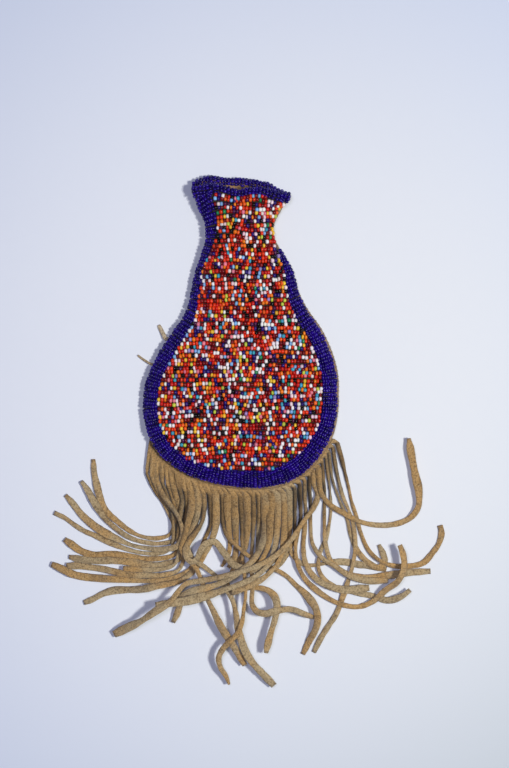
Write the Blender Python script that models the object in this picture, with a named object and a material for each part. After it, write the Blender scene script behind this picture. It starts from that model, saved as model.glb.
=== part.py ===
"""A beaded hide pouch, lying on its back.

Two hide panels are sewn together along the sides and the bottom into a gourd shape, which is
open at its mouth. Rows of seed beads cover the front, a band of beads runs round its edge, and
both lips of the mouth are edged with beads. One strip of hide is caught in the bottom seam and
slit into long thongs, which lie where they fell.

+X is to the right and +Y towards the mouth, as the pouch is seen from above. +Z is up. The
origin is under the middle of the belly, on the surface that the pouch lies on. Every size is in
millimetres and becomes metres as its mesh is made.
"""

import bpy
import numpy as np

MM = 0.001

# The sewn outline: how far up the bag each place is, and half its width there
MOUTH_Y, MOUTH_HALF = 109.0, 26.5
NECK_Y, NECK_HALF = 86.0, 18.2
HIP_Y, HIP_HALF = 58.0, 28.0
BELLY_Y, BELLY_HALF = -5.0, 52.8
BOTTOM_Y = -51.2
BOTTOM_ROUNDNESS = 2.15

# The middle line of the bag leans a little, as it was cut: (height up the bag, shift to the right)
LEAN = [(-51.2, 6.5), (-45.0, 3.2), (-35.0, 0.6), (-20.0, 0.5), (0.0, 1.0), (22.0, 3.4), (38.0, 4.8),
        (56.0, 2.8), (72.0, 1.8), (86.0, 0.0), (100.0, 0.2), (109.0, 0.6)]

# Hide, and how the pouch is filled out
BACK_HIDE = 1.3
FRONT_HIDE = 1.2
FRINGE_HIDE = 1.2
CLEARANCE = 0.3
BEAD_CLEARANCE = 0.5
BELLY_CAVITY = 8.9
NECK_CAVITY = 8.8
MOUTH_CAVITY = 10.2
SHOULDER = 15.0
FULLNESS = 2.3
BELLY_SEAM_LIFT = 0.8
MOUTH_SEAM_LIFT = 4.4
MOUTH_SEAM_OPENING = 3.4
LIP_LIFT = 2.6

# Seed beads: their height on the hide, the depth between rows, and the spacing of the rows
BEAD_HEIGHT = 1.9
ROW_VALLEY = 1.1
ROW_PITCH = 2.16
BORDER_ROW_PITCH = 2.12

# The mouth: how far each lip stands past the end of the sides, along the lip (x, y)
FRONT_LIP = [(-27.0, 0.0), (-21.0, 1.6), (-15.0, 2.2), (-8.0, 1.0), (-1.0, -1.5), (6.0, -0.3), (12.0, 0.0),
             (17.0, -1.0), (22.0, -2.6), (28.0, -3.6)]
BACK_LIP = [(-27.0, 2.2), (-22.0, 5.2), (-17.0, 6.5), (-8.0, 5.4), (4.0, 4.9), (11.0, 3.6), (15.0, 3.0),
            (20.5, 0.0), (26.0, -2.7)]
LIP_REACH = 10.0
RIM_HEIGHT = 5.0
RIM_BEADS = 1.7
RIM_GROOVE = 0.6
RIM_INNER_HEIGHT = 2.4
RIM_INNER_BEADS = 0.8
RIM_FOLD_ROUND = 0.9

# The band of beads: (place round the outline from the left lip to the right one as a share of
# its length, distance in from the hide's edge to its outer side, and to its inner side)
BORDER = [(0.026, 0.5, 8.3), (0.050, 0.5, 6.6), (0.080, 0.5, 4.2), (0.110, 0.5, 3.6), (0.145, 0.5, 4.6),
          (0.190, 0.5, 6.8), (0.250, 0.5, 7.6), (0.330, 0.5, 8.0), (0.400, 0.7, 8.2), (0.470, 1.0, 9.2),
          (0.530, 1.0, 9.8), (0.600, 1.0, 10.0), (0.660, 1.6, 9.6), (0.740, 2.2, 9.4), (0.800, 2.0, 9.0),
          (0.840, 1.4, 8.0), (0.870, 0.8, 5.6), (0.895, 0.6, 4.2), (0.915, 0.6, 2.4)]
FIELD_EDGE = 0.8
FIELD_TOP_Y = MOUTH_Y - RIM_HEIGHT - 0.9

# The fringe: the line where its slits begin, and how far its heading reaches into the seam
SLIT_LINE = [(-52.5, -41.5), (-47.5, -45.4), (-42.0, -48.2), (-36.5, -50.3), (-31.5, -51.8), (-26.0, -53.0),
             (-19.5, -53.5), (-12.0, -54.3), (-4.5, -54.7), (3.0, -54.8), (11.0, -54.7),
             (17.5, -54.2), (24.0, -52.8), (29.5, -50.2), (35.0, -46.2), (39.6, -42.2), (43.6, -37.9),
             (46.8, -33.6), (49.8, -28.9), (53.4, -24.6)]
HEADING_IN_SEAM = 2.6
HEADING_PAST_SEAM = 1.0
HEADING_TOP_Y = -23.0
FRINGE_SEAM_END_Y = -12.0
SLIT_HEIGHT = 1.3
THONG_WIDTH = 2.55
THONG_END_WIDTH = 3.6
THONG_END = 50.0
THONG_UNROLLS = 20.0
THONG_TAPER = 7.0
THONG_FULL_AT = 35.0
ROOT_FILL = 0.72
NARROWEST = 1.3
STACK_GAP = 0.3
SIDE_GAP = 0.15
RING_SPACING = 7.0
RING_TURN = 30.0
DRAPE_HOLD = 4.0
DRAPE_SLOPE = 0.55

# Each thong, in order from the left: its turn to be laid down, and the route of its middle from
# the slit to its end. A third number is the least height that the thong has there.
THONGS = {
    "left_a": (1, [(-48.2, -50), (-43.4, -58), (-38.8, -65.5), (-36.4, -72), (-38.2, -76.8), (-44.5, -79),
                   (-52.5, -78.2), (-59.5, -75.2), (-66, -70.5), (-72, -64.8), (-75.6, -58), (-78, -49.5),
                   (-79.5, -42.5), (-80, -36)]),
    "left_b": (2, [(-45.2, -52), (-40.2, -60), (-35.8, -67), (-33.7, -73.5), (-35.6, -79.2),
                   (-43.5, -81.8), (-51.8, -81.3), (-59.3, -78.9), (-66.5, -74.3), (-72.8, -69),
                   (-77, -63), (-80.7, -56.7), (-83.5, -52), (-86.5, -48)]),
    "left_c": (8, [(-42.6, -53.6), (-37.2, -61.5), (-32.9, -68), (-31, -75), (-33.2, -81.7), (-42.5, -84.6),
                   (-51.5, -84.3), (-59.5, -82.4), (-68, -78.5), (-75.5, -74.7), (-81.5, -70.5),
                   (-86.5, -66), (-90.5, -60.5), (-95, -55.5)]),
    "left_d": (3, [(-39.9, -55.3), (-37.6, -62.5), (-36.4, -70), (-36.3, -78), (-38, -84.5), (-44, -87.3),
                   (-52, -87.2), (-60.5, -85.4), (-69, -82), (-76.5, -78.5), (-85, -75), (-90.5, -71.5),
                   (-96, -67.5), (-101, -65)]),
    "left_e": (4, [(-36.9, -56.8), (-34.8, -64), (-33.7, -72), (-33.5, -80.5), (-35.6, -87.3), (-43, -90),
                   (-51, -90), (-59.5, -88.6), (-69, -88), (-76.5, -88.3), (-83, -87.3), (-88, -85),
                   (-92, -82), (-95.5, -79.5)]),
    "left_f": (5, [(-34.3, -58), (-32.2, -65.5), (-31, -73), (-30.8, -82.5), (-33.2, -90), (-41.5, -92.8),
                   (-50, -93), (-59.5, -91.8), (-69, -91), (-78.5, -91.2), (-86.5, -90.3), (-93, -89)]),
    "left_i": (6, [(-31.5, -59.3), (-32.6, -67.5), (-33.5, -77), (-33.3, -86.5), (-36, -93.3), (-43, -95.6),
                   (-49, -96), (-56, -95.6), (-63.5, -95.4)]),
    "left_h": (7, [(-29, -60.4), (-29.9, -68.5), (-30.8, -78), (-30.6, -89), (-33.5, -96), (-41.5, -98.3),
                   (-50, -98.6), (-60.5, -98.2), (-72.5, -95.6), (-84, -94.2), (-94.5, -93.5)]),
    "low_n": (16, [(-26.2, -61.5), (-28, -69.5), (-30, -78), (-31.5, -84), (-27.5, -90), (-23, -96),
                   (-20.5, -102.5, 5), (-18, -110, 9), (-14.5, -117.5, 10.5), (-10.5, -125.5, 10),
                   (-6, -133, 8), (-1.5, -140.5, 5), (2.5, -147.5, 2)]),
    "low_o": (15, [(-22.9, -62), (-24.3, -69.5), (-27, -76.5), (-28.5, -83), (-26, -89), (-19.5, -94),
                   (-13, -99.5), (-7.5, -105.5, 4), (-4, -112, 8), (-2, -119.5, 9.5), (-1, -127.5, 9.5),
                   (1.5, -136, 8.5), (6, -144.5, 7), (12, -151.5, 5), (18.5, -158.5, 3)]),
    "loop_s": (30, [(-19.5, -62.5), (-21, -70), (-24.5, -76), (-28, -81), (-29.6, -85.8), (-28.6, -89.2),
                    (-25.8, -91), (-23, -89.2), (-21.4, -85.6), (-18.8, -81.8), (-14.5, -80.5), (-9, -86),
                    (-4, -92), (4, -95), (12, -93.5), (19.5, -89), (26.5, -83.5)]),
    "left_g": (9, [(-16, -63.5), (-16.5, -72), (-19.5, -80), (-23, -88.5), (-28.5, -97), (-38, -101.2),
                   (-48.5, -101.6), (-59.5, -101), (-67.5, -100.7), (-75.5, -100.5), (-83.5, -100),
                   (-90.5, -98.5), (-97, -95.5), (-102.5, -93)]),
    "left_j": (10, [(-13, -64.5), (-13.5, -73), (-16.5, -82), (-21, -90.5), (-26.5, -97.5), (-33, -102),
                    (-40.5, -103.5), (-47.5, -105), (-54, -106.5), (-62, -107), (-69, -107.5),
                    (-75.5, -109.5), (-80, -112), (-85, -114)]),
    "low_t": (28, [(-9.5, -63), (-9.5, -70.5), (-6.5, -78.5), (-1, -83.5), (5.5, -88.5), (12.5, -92.5),
                   (19, -95.5), (25, -99.5), (31, -105), (36.5, -110.5), (41, -117), (42, -123),
                   (40.5, -129), (37.5, -135), (34, -142)]),
    "mid_a": (11, [(-6.5, -64.5), (-6, -72), (-5.5, -80), (-6.5, -88), (-10, -94.5)]),
    "mid_b": (12, [(-3, -64.5), (-2.5, -72.5), (-2.3, -81), (-3, -89), (-6.5, -95)]),
    "low_q": (17, [(0.5, -64.5), (0.8, -73), (1, -81.5), (1.5, -90), (2.5, -99), (3, -108, 6), (2, -116, 9),
                   (1, -123.5, 11), (-1.5, -129.5, 12), (-5.5, -133.5, 11), (-9, -137.5, 9),
                   (-11.5, -143.5, 8), (-10.5, -148.5, 6), (-7.5, -153.5, 4), (-6, -158, 2)]),
    "low_s": (13, [(4, -64.5), (4, -73), (3, -82), (0, -90.5), (-4.5, -97.5), (-7.5, -103),
                   (-4.5, -106.5, 2), (2.5, -105.5, 6), (9.5, -105, 9), (15, -106.5, 9.5),
                   (19, -110.5, 9.5), (20, -115.5, 9), (19, -121.5, 9), (16.5, -130, 8), (14, -140.5, 7)]),
    "low_r": (14, [(7.3, -64.5), (7.2, -73), (6.5, -82), (6, -90.5), (6.5, -99), (6.6, -106, 2),
                   (6.4, -110.5, 3), (6.6, -114.5, 3), (9, -118, 3), (13.2, -118.9, 3), (19.5, -117.4, 4),
                   (27, -116.5, 4), (35, -119.5, 2), (40, -121.5)]),
    "sweep_a": (18, [(10.5, -64.5), (10.3, -73), (9.6, -82), (9.2, -91), (9.6, -98)]),
    "sweep_curl": (32, [(13.7, -64.5), (13.4, -73), (12, -81), (8, -88.5), (1, -95), (-7.5, -101.2),
                        (-19, -105.2), (-27.5, -108), (-32, -111, 3), (-33, -116, 3), (-34.5, -120.5, 2),
                        (-36.5, -124.5)]),
    "sweep_b": (31, [(17, -64), (16.6, -73), (15.2, -82), (11.5, -90), (5, -96.5)]),
    "sweep_l": (34, [(20.5, -63), (20.2, -73), (18.8, -83), (15.5, -92), (8.5, -98.5), (-1, -103),
                     (-11, -106.8), (-20.5, -109.8, 6), (-29.5, -112, 10), (-38, -113, 12), (-45.5, -114, 13)]),
    "sweep_c": (33, [(24, -62), (24, -72), (23.4, -82), (20.5, -91.5), (13.5, -99), (4.5, -104),
                     (-4.5, -107.3)]),
    "right_d": (20, [(26.6, -61), (26.8, -70.5), (26.5, -80.5), (28.5, -88), (34, -93), (41, -93.5),
                     (48.5, -92), (56.5, -92), (65, -93.5), (73, -94.5), (79.5, -96)]),
    "sweep_d": (19, [(29.7, -59.5), (29.8, -68.5), (29.3, -77.5), (26.5, -86), (21.5, -93), (15, -98)]),
    "right_a": (29, [(32.5, -58), (32.8, -66.5), (31.6, -75), (30, -83.5), (31, -91.5), (34, -99),
                     (39.5, -105.5), (47, -111), (56, -115), (65, -116), (72, -113), (79, -106.5, 3),
                     (85.5, -101, 8), (88.5, -94.5, 10), (88, -87.5, 10), (86, -82, 10)]),
    "right_b": (26, [(35.2, -56), (35.6, -65.5), (35, -74), (34.5, -83.5), (35.5, -92), (39.5, -99),
                     (46, -104), (54, -106.5), (62, -106.5), (70, -105.5)]),
    "right_c": (27, [(37.6, -53.5), (38.2, -63), (38.2, -73), (39.5, -82.5), (44, -89), (51.5, -94),
                     (59.5, -99), (68.5, -101.5), (80, -102)]),
    "sweep_y": (35, [(40, -49.5), (42, -55.4), (40.2, -61.5), (35, -68.5), (29, -77.5), (21.5, -85.5),
                     (12, -91.5), (0, -96), (-12, -99.3), (-22, -101.5), (-29.5, -103), (-34, -107.5),
                     (-38, -112.5), (-44.5, -116.5), (-53.5, -123), (-61, -127), (-68.5, -131)]),
    "right_w": (36, [(43, -47.5), (44.2, -54.5), (48.8, -60.6), (57.5, -65.8), (66, -70), (75.5, -72),
                     (85.5, -71), (92.5, -68), (96.5, -62, 2), (97, -53.5, 4), (95, -44.5, 4),
                     (93, -34.5, 4), (91.5, -24.5, 3)]),
    "right_e": (25, [(45.1, -45.5), (46, -54.5), (45.8, -63.5), (45.8, -73), (46.5, -82), (49, -90.5), (57, -97),
                     (68, -100), (81, -99), (92.5, -97.5), (103.5, -97)]),
    "right_f": (24, [(47.5, -43), (48.8, -52), (49.4, -61), (48.8, -69.5), (46.5, -79.5), (43, -88),
                     (42.5, -95.5), (46, -101.5), (52.5, -105.5), (61.5, -108), (72, -110.5),
                     (81, -112.5), (87, -110.5, 3), (92, -106.5, 5)]),
    "right_g": (21, [(49, -40), (50.4, -48.5), (54, -58), (58.2, -68.5), (60.5, -78.5), (64.5, -87),
                     (71, -93), (75.6, -94.8), (78.6, -91.6), (77.6, -87), (75.5, -82.5)]),
    "right_x": (22, [(51.4, -37), (53.2, -46.5), (55.6, -55.5), (59.4, -64.5), (62, -74), (62.5, -83.5),
                     (61, -93.5), (58.5, -103), (55, -113), (52, -120.5), (47.5, -127.5), (43.5, -134),
                     (40, -141)]),
    "right_v": (23, [(54.4, -33), (56.8, -42), (58.8, -50.5), (60.6, -59), (63.2, -67.5), (66, -77),
                     (70, -85.5), (77, -91.5), (85, -94), (93, -94), (100, -92), (104.5, -87),
                     (108.5, -81), (109.5, -76), (108.5, -72)]),
}

# The two ends of a thin thong, which come out of the left seam: how far up the bag each leaves
# it, where it goes from there, and its width
TIE_HIDE = 0.9
TIE_UPPER = (28.8, [(-1.2, 0.6), (-2.4, 2.6), (-3.8, 5.2), (-5.2, 8.0)], 1.9)
TIE_LOWER = (15.2, [(-1.4, 0.5), (-3.4, 1.6), (-6.0, 3.2), (-8.6, 5.2)], 1.4)

# Colours
HIDE_TAN = (0.42, 0.28, 0.14)
HIDE_PALE = (0.50, 0.37, 0.20)
NAVY_GLASS = (0.020, 0.008, 0.130)
FIELD_GLASS = (0.42, 0.06, 0.03)


def smooth_curve(at, knots):
    """A smooth curve through the knots, read at the given places. Past the ends it stays level."""
    x, y = np.array(knots, float).T
    slope = np.gradient(y, x)
    at = np.clip(at, x[0], x[-1])
    i = np.clip(np.searchsorted(x, at) - 1, 0, len(x) - 2)
    step = x[i + 1] - x[i]
    t = (at - x[i]) / step
    return ((1 + 2 * t) * (1 - t) ** 2 * y[i] + t * (1 - t) ** 2 * step * slope[i]
            + t * t * (3 - 2 * t) * y[i + 1] + t * t * (t - 1) * step * slope[i + 1])


def ease(value, start, end):
    """0 at start, 1 at end, and smooth between."""
    t = np.clip((value - start) / (end - start), 0, 1)
    return t * t * (3 - 2 * t)


def between(low, high, along, out):
    """A place between two places of the outline, from shares of the way along and out."""
    return (low[0] + (high[0] - low[0]) * along, low[1] + (high[1] - low[1]) * out)


BELLY, HIP = (BELLY_Y, BELLY_HALF), (HIP_Y, HIP_HALF)
NECK, MOUTH = (NECK_Y, NECK_HALF), (MOUTH_Y, MOUTH_HALF)
SIDES = [BELLY, between(BELLY, HIP, 0.21, 0.05), between(BELLY, HIP, 0.43, 0.25),
         between(BELLY, HIP, 0.62, 0.52), between(BELLY, HIP, 0.78, 0.79), HIP,
         between(HIP, NECK, 0.29, 0.21), between(HIP, NECK, 0.64, 0.66), NECK,
         between(NECK, MOUTH, 0.27, 0.08), between(NECK, MOUTH, 0.65, 0.58), MOUTH]


def half_width(y):
    depth = np.clip((BELLY_Y - y) / (BELLY_Y - BOTTOM_Y), 0, 1)
    bottom = BELLY_HALF * (1 - depth ** BOTTOM_ROUNDNESS) ** (1 / BOTTOM_ROUNDNESS)
    return np.where(y < BELLY_Y, bottom, smooth_curve(y, SIDES))


def outline(steps_up=90, steps_round=60):
    """The sewn edge from the left corner of the mouth, round the bottom, to the right corner."""
    upper = np.linspace(MOUTH_Y, BELLY_Y, steps_up)
    turn = np.linspace(0, np.pi / 2, steps_round)[1:]
    y = np.concatenate([upper, BELLY_Y + (BOTTOM_Y - BELLY_Y) * np.sin(turn)])
    middle, half = smooth_curve(y, LEAN), half_width(y)
    left = np.stack([middle - half, y], 1)
    right = np.stack([middle + half, y], 1)
    return np.concatenate([left, right[-2::-1]])


EDGE = outline()
EDGE_LENGTH = np.concatenate([[0], np.cumsum(np.linalg.norm(np.diff(EDGE, axis=0), axis=1))])


def edge_point(share, inward):
    """A point at a share of the way round the sewn edge, so far in from it."""
    along = share * EDGE_LENGTH[-1]
    point = np.stack([np.interp(along, EDGE_LENGTH, EDGE[:, k]) for k in (0, 1)], -1)
    ahead = np.stack([np.interp(along + 2, EDGE_LENGTH, EDGE[:, k]) for k in (0, 1)], -1)
    behind = np.stack([np.interp(along - 2, EDGE_LENGTH, EDGE[:, k]) for k in (0, 1)], -1)
    tangent = (ahead - behind) / np.linalg.norm(ahead - behind, axis=-1, keepdims=True)
    normal = np.stack([-tangent[..., 1], tangent[..., 0]], -1)
    return point + normal * np.asarray(inward)[..., None]


def inset(x, y):
    """How far each point lies from the sewn edge."""
    start, run = EDGE[:-1], np.diff(EDGE, axis=0)
    away_x, away_y = x[..., None] - start[:, 0], y[..., None] - start[:, 1]
    t = np.clip((away_x * run[:, 0] + away_y * run[:, 1]) / (run ** 2).sum(1), 0, 1)
    return np.hypot(away_x - t * run[:, 0], away_y - t * run[:, 1]).min(-1)


def layers(x, y):
    """Heights of the back panel's two faces and the front panel's two faces."""
    full = 1 - (1 - np.clip(inset(x, y) / SHOULDER, 0, 1)) ** FULLNESS
    seam_lift = BELLY_SEAM_LIFT + (MOUTH_SEAM_LIFT - BELLY_SEAM_LIFT) * ease(y, HIP_Y, MOUTH_Y)
    lip_lift = LIP_LIFT * ease(y, NECK_Y, MOUTH_Y)
    back_under = lip_lift + (seam_lift - lip_lift) * (1 - full)
    back_top = back_under + BACK_HIDE
    heading_room = (FRINGE_HIDE + 2 * CLEARANCE) * ease(y, FRINGE_SEAM_END_Y, HEADING_TOP_Y + 2)
    seam_room = CLEARANCE + heading_room + MOUTH_SEAM_OPENING * ease(y, MOUTH_Y - 2 * RIM_HEIGHT, MOUTH_Y)
    cavity = smooth_curve(y, [(BELLY_Y, BELLY_CAVITY), (HIP_Y, BELLY_CAVITY), (NECK_Y, NECK_CAVITY),
                              (MOUTH_Y, MOUTH_CAVITY)])
    front_under = back_top + seam_room + (cavity - lip_lift - seam_room) * full
    return back_under, back_top, front_under, front_under + FRONT_HIDE


def lip_shift(x, y, lip):
    """How far the shape of a lip moves a point near the mouth up the bag."""
    return smooth_curve(x, lip) * ease(y, MOUTH_Y - LIP_REACH, MOUTH_Y)


def on_front(x, y, height):
    """Points at a height over the front hide, square to it."""
    step = 0.5
    slope_x = (layers(x + step, y)[3] - layers(x - step, y)[3]) / (2 * step)
    slope_y = (layers(x, y + step)[3] - layers(x, y - step)[3]) / (2 * step)
    scale = height / np.sqrt(1 + slope_x ** 2 + slope_y ** 2)
    return np.stack([x - slope_x * scale, y - slope_y * scale + lip_shift(x, y, FRONT_LIP),
                     layers(x, y)[3] + scale], -1)


def material(name, colour, roughness):
    made = bpy.data.materials.new(name)
    made.use_nodes = True
    shader = made.node_tree.nodes["Principled BSDF"]
    shader.inputs["Base Color"].default_value = (*colour, 1)
    shader.inputs["Roughness"].default_value = roughness
    return made


def solid(name, points, faces, made_of):
    """One closed mesh object, from points in millimetres."""
    mesh = bpy.data.meshes.new(name)
    mesh.from_pydata([tuple(p) for p in np.asarray(points, float) * MM], [], faces)
    mesh.materials.append(made_of)
    mesh.validate()
    mesh.shade_smooth()
    mesh.set_sharp_from_angle(angle=np.radians(50))
    made = bpy.data.objects.new(name, mesh)
    bpy.context.collection.objects.link(made)
    return made


def loft(name, rings, made_of):
    """A closed skin over rings of points. Each ring goes out along one face and back along the
    other, so that its ends are closed by strips between the two."""
    rings = np.asarray(rings)
    count, size = rings.shape[:2]
    faces = [(r * size + i, r * size + (i + 1) % size,
              (r + 1) * size + (i + 1) % size, (r + 1) * size + i)
             for r in range(count - 1) for i in range(size)]
    last = (count - 1) * size
    for i in range(size // 2 - 1):
        near, far = (i, i + 1), (size - 2 - i, size - 1 - i)
        faces.append((near[1], near[0], far[1], far[0]))
        faces.append((last + near[0], last + near[1], last + far[0], last + far[1]))
    return solid(name, rings.reshape(-1, 3), faces, made_of)


def sheet_ring(top, under):
    return np.concatenate([top, under[::-1]])


COLUMN_INSETS = np.array([0.0, 1.2, 3.2, 6.0, 9.5, 15.5])


def panel_columns(y):
    """Places across the bag at this height, close together where the side turns over."""
    half = float(half_width(y))
    side = half - COLUMN_INSETS * min(1, half / 17)
    middle = side[-1] * np.array([-0.5, 0, 0.5])
    return float(smooth_curve(y, LEAN)) + np.concatenate([-side, middle, side[::-1]])


def panel_rows():
    turn = np.radians([87.5, 80, 70, 58, 44, 30, 15])
    round_end = BELLY_Y + (BOTTOM_Y - BELLY_Y) * np.sin(turn)
    belly = np.linspace(BELLY_Y, HIP_Y, 9)[:-1]
    return np.concatenate([round_end, belly, np.linspace(HIP_Y, MOUTH_Y, 14)])


def make_back_panel(made_of):
    rings = []
    for y in panel_rows():
        x = panel_columns(y)
        rows = np.full_like(x, y)
        under, top = layers(x, rows)[:2]
        lip = rows + lip_shift(x, rows, BACK_LIP)
        rings.append(sheet_ring(np.stack([x, lip, top], 1), np.stack([x, lip, under], 1)))
    return loft("back_panel", rings, made_of)


def make_front_panel(made_of):
    rings = []
    for y in panel_rows():
        x = panel_columns(y)
        rows = np.full_like(x, y)
        under, top = layers(x, rows)[2:]
        lip = rows + lip_shift(x, rows, FRONT_LIP)
        rings.append(sheet_ring(np.stack([x, lip, top], 1), np.stack([x, lip, under], 1)))
    return loft("front_panel", rings, made_of)


def border_edges(share):
    """How far in from the hide's edge the bead band begins and ends."""
    share_at, outer, inner = np.array(BORDER).T
    return (smooth_curve(share, list(zip(share_at, outer))),
            smooth_curve(share, list(zip(share_at, inner))))


def make_border(made_of):
    """A ridge for each row of beads, and the rows stand side by side across the band."""
    first, last = BORDER[0][0], BORDER[-1][0]
    rows = int((last - first) * EDGE_LENGTH[-1] / BORDER_ROW_PITCH)
    share = np.linspace(first, last, 2 * rows + 1)
    outer, inner = border_edges(share)
    rings = []
    for i, at in enumerate(share):
        across = outer[i] + (inner[i] - outer[i]) * np.array([0, 0.4, 1])
        flat = edge_point(np.full(3, at), across)
        height = ROW_VALLEY if i % 2 == 0 else BEAD_HEIGHT
        top = on_front(flat[:, 0], flat[:, 1], BEAD_CLEARANCE + height)
        under = on_front(flat[:, 0], flat[:, 1], BEAD_CLEARANCE)
        rings.append(sheet_ring(top, under))
    return loft("bead_border", rings, made_of)


def field_limits():
    """The two sides of the bead field as curves of x against y, just inside the band."""
    share = np.linspace(0, 1, 500)
    first, last = BORDER[0][0], BORDER[-1][0]
    inner = border_edges(share)[1] + CLEARANCE + 0.3
    inner = np.where(share > last + 0.01, FIELD_EDGE, inner)
    line = edge_point(share[share >= first], inner[share >= first])
    lowest = int(np.argmin(line[:, 1]))
    return line[:lowest + 1], line[lowest:]


def make_field(made_of):
    """A ridge for each row of beads from side to side."""
    left, right = field_limits()
    bottom = float(left[-1, 1]) + 0.8
    rows = round((FIELD_TOP_Y - bottom) / ROW_PITCH)
    rings = []
    for i, y in enumerate(np.linspace(FIELD_TOP_Y, bottom, 2 * rows + 1)):
        row_left = np.interp(-y, -left[:, 1], left[:, 0])
        row_right = np.interp(y, right[:, 1], right[:, 0])
        shares = np.array([0, 0.08, 0.27, 0.5, 0.73, 0.92, 1])
        x = row_left + (row_right - row_left) * shares
        at = np.full_like(x, y)
        height = ROW_VALLEY if i % 2 == 0 else BEAD_HEIGHT
        rings.append(sheet_ring(on_front(x, at, BEAD_CLEARANCE + height), on_front(x, at, BEAD_CLEARANCE)))
    return loft("bead_field", rings, made_of)


def make_rim(name, lip, outside, made_of):
    """Bead rows folded over one lip: along its outer face, over its edge and a little way inside.
    outside is 1 where the outer face of the hide looks up and -1 where it looks down."""
    hide = FRONT_HIDE if outside > 0 else BACK_HIDE
    face = 3 if outside > 0 else 0
    reach = np.linspace(-1, 0, 6) * RIM_HEIGHT
    grooves = np.array([1, 0, 1, 0, 1, 0]) * RIM_GROOVE
    rings = []
    y = MOUTH_Y + reach
    inside_y = np.array([MOUTH_Y - RIM_INNER_HEIGHT, MOUTH_Y])
    outer_columns = np.stack([panel_columns(at) for at in y], 1)
    inner_columns = np.stack([panel_columns(at) for at in inside_y], 1)
    for across, inside_x in zip(outer_columns, inner_columns):
        hem = layers(across, y)[face] + outside * BEAD_CLEARANCE
        beads = hem + outside * (RIM_BEADS - grooves)
        inner_hem = layers(inside_x, inside_y)[face] - outside * (hide + BEAD_CLEARANCE)
        inner_beads = inner_hem - outside * RIM_INNER_BEADS
        along = y + lip_shift(across, y, lip)
        inside_along = inside_y + lip_shift(inside_x, inside_y, lip)
        lip_end = along[-1] + CLEARANCE
        fold = lip_end + RIM_BEADS
        skin = list(zip(across, along, beads))
        skin.append((across[-1], fold, beads[-1] - outside * RIM_FOLD_ROUND))
        skin.append((across[-1], fold, inner_beads[1] + outside * RIM_FOLD_ROUND))
        skin.append((inside_x[1], inside_along[1], inner_beads[1]))
        skin.append((inside_x[0], inside_along[0], inner_beads[0]))
        lining = list(zip(across, along, hem))
        lining.append((across[-1], lip_end, hem[-1]))
        lining.append((across[-1], lip_end, inner_hem[1]))
        lining.append((inside_x[1], inside_along[1], inner_hem[1]))
        lining.append((inside_x[0], inside_along[0], inner_hem[0]))
        ring = skin + lining[::-1]
        rings.append(ring)
    return loft(name, rings, made_of)


def smooth_route(points, spacing, turn=180.0):
    """A smooth curve through hand-chosen points. It is read at most a spacing apart, closer where
    it bends, with at most the given turn in degrees from one place to the next."""
    points = np.array([tuple(p) + (0,) * (3 - len(p)) for p in points], float)
    run = np.concatenate([[0], np.cumsum(np.linalg.norm(np.diff(points[:, :2], axis=0), axis=1))])
    fine = np.linspace(0, run[-1], int(run[-1] * 4))
    curve = np.stack([smooth_curve(fine, list(zip(run, points[:, k]))) for k in range(3)], 1)
    step = np.diff(curve[:, :2], axis=0)
    heading = np.degrees(np.unwrap(np.arctan2(step[:, 1], step[:, 0])))
    bend = np.abs(np.diff(heading, prepend=heading[0]))
    cost = np.concatenate([[0], np.cumsum(np.linalg.norm(step, axis=1) / spacing + bend / turn)])
    at = np.linspace(0, cost[-1], int(np.ceil(cost[-1])) + 1)
    return np.stack([np.interp(at, cost, curve[:, k]) for k in range(3)], 1)


def slit_points():
    """The ends of the slits: the corners between one thong and the next."""
    line = np.array(SLIT_LINE)
    run = np.concatenate([[0], np.cumsum(np.linalg.norm(np.diff(line, axis=0), axis=1))])
    at = np.linspace(0, run[-1], len(THONGS) + 1)
    return np.stack([smooth_curve(at, list(zip(run, line[:, k]))) for k in (0, 1)], 1)


def thong_width(run, root_width):
    """As wide as the thong's own stretch of the slit line, seen along the thong. In the tangle it
    lies crowded and half on edge, so it takes up less, and towards its free end it lies flat."""
    crowded = root_width + (THONG_WIDTH - root_width) * ease(run, 2 * THONG_TAPER, THONG_FULL_AT)
    unrolls = max(run[-1] - THONG_END, THONG_END)
    return crowded + (THONG_END_WIDTH - crowded) * ease(run, unrolls, unrolls + THONG_UNROLLS)


def plan_run(route):
    return np.concatenate([[0], np.cumsum(np.hypot(*np.diff(route[:, :2], axis=0).T))])


def drape(routes, root_widths):
    """Lays the thongs down one after another. Each lies on the floor or on those below it, and
    passes over them in a long low hump. Gives the height of each one's underside at its points."""
    down = []
    heights = {}
    for name in sorted(routes, key=lambda n: THONGS[n][0]):
        route = routes[name]
        at_rings = plan_run(route)
        run = np.linspace(0, at_rings[-1], int(at_rings[-1]) + 1)
        fine = np.stack([np.interp(run, at_rings, route[:, k]) for k in (0, 1)], 1)
        width = thong_width(run, root_widths[name])
        need = np.interp(run, at_rings, route[:, 2])
        for other, other_width, other_run, top in down:
            apart = np.hypot(fine[:, None, 0] - other[None, :, 0], fine[:, None, 1] - other[None, :, 1])
            touching = apart < (width[:, None] + other_width[None, :]) / 2 + SIDE_GAP
            touching &= ~((run[:, None] < THONG_TAPER) & (other_run[None, :] < THONG_TAPER))
            need = np.maximum(need, np.where(touching, top[None, :] + STACK_GAP, 0).max(1))
        slope = DRAPE_SLOPE * np.clip(np.abs(at_rings[:, None] - run[None, :]) - DRAPE_HOLD, 0, None)
        held = (need[None, :] - slope).max(1)
        start = SLIT_HEIGHT * (1 - ease(at_rings, 0, 3 * THONG_TAPER))
        rise = ease(at_rings, 0, 1.7 * THONG_TAPER)
        held = np.maximum(held * rise, start)
        heights[name] = np.concatenate([[SLIT_HEIGHT], held[1:]])
        down.append((fine, width, run, np.interp(run, at_rings, heights[name]) + FRINGE_HIDE))
    return heights


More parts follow.
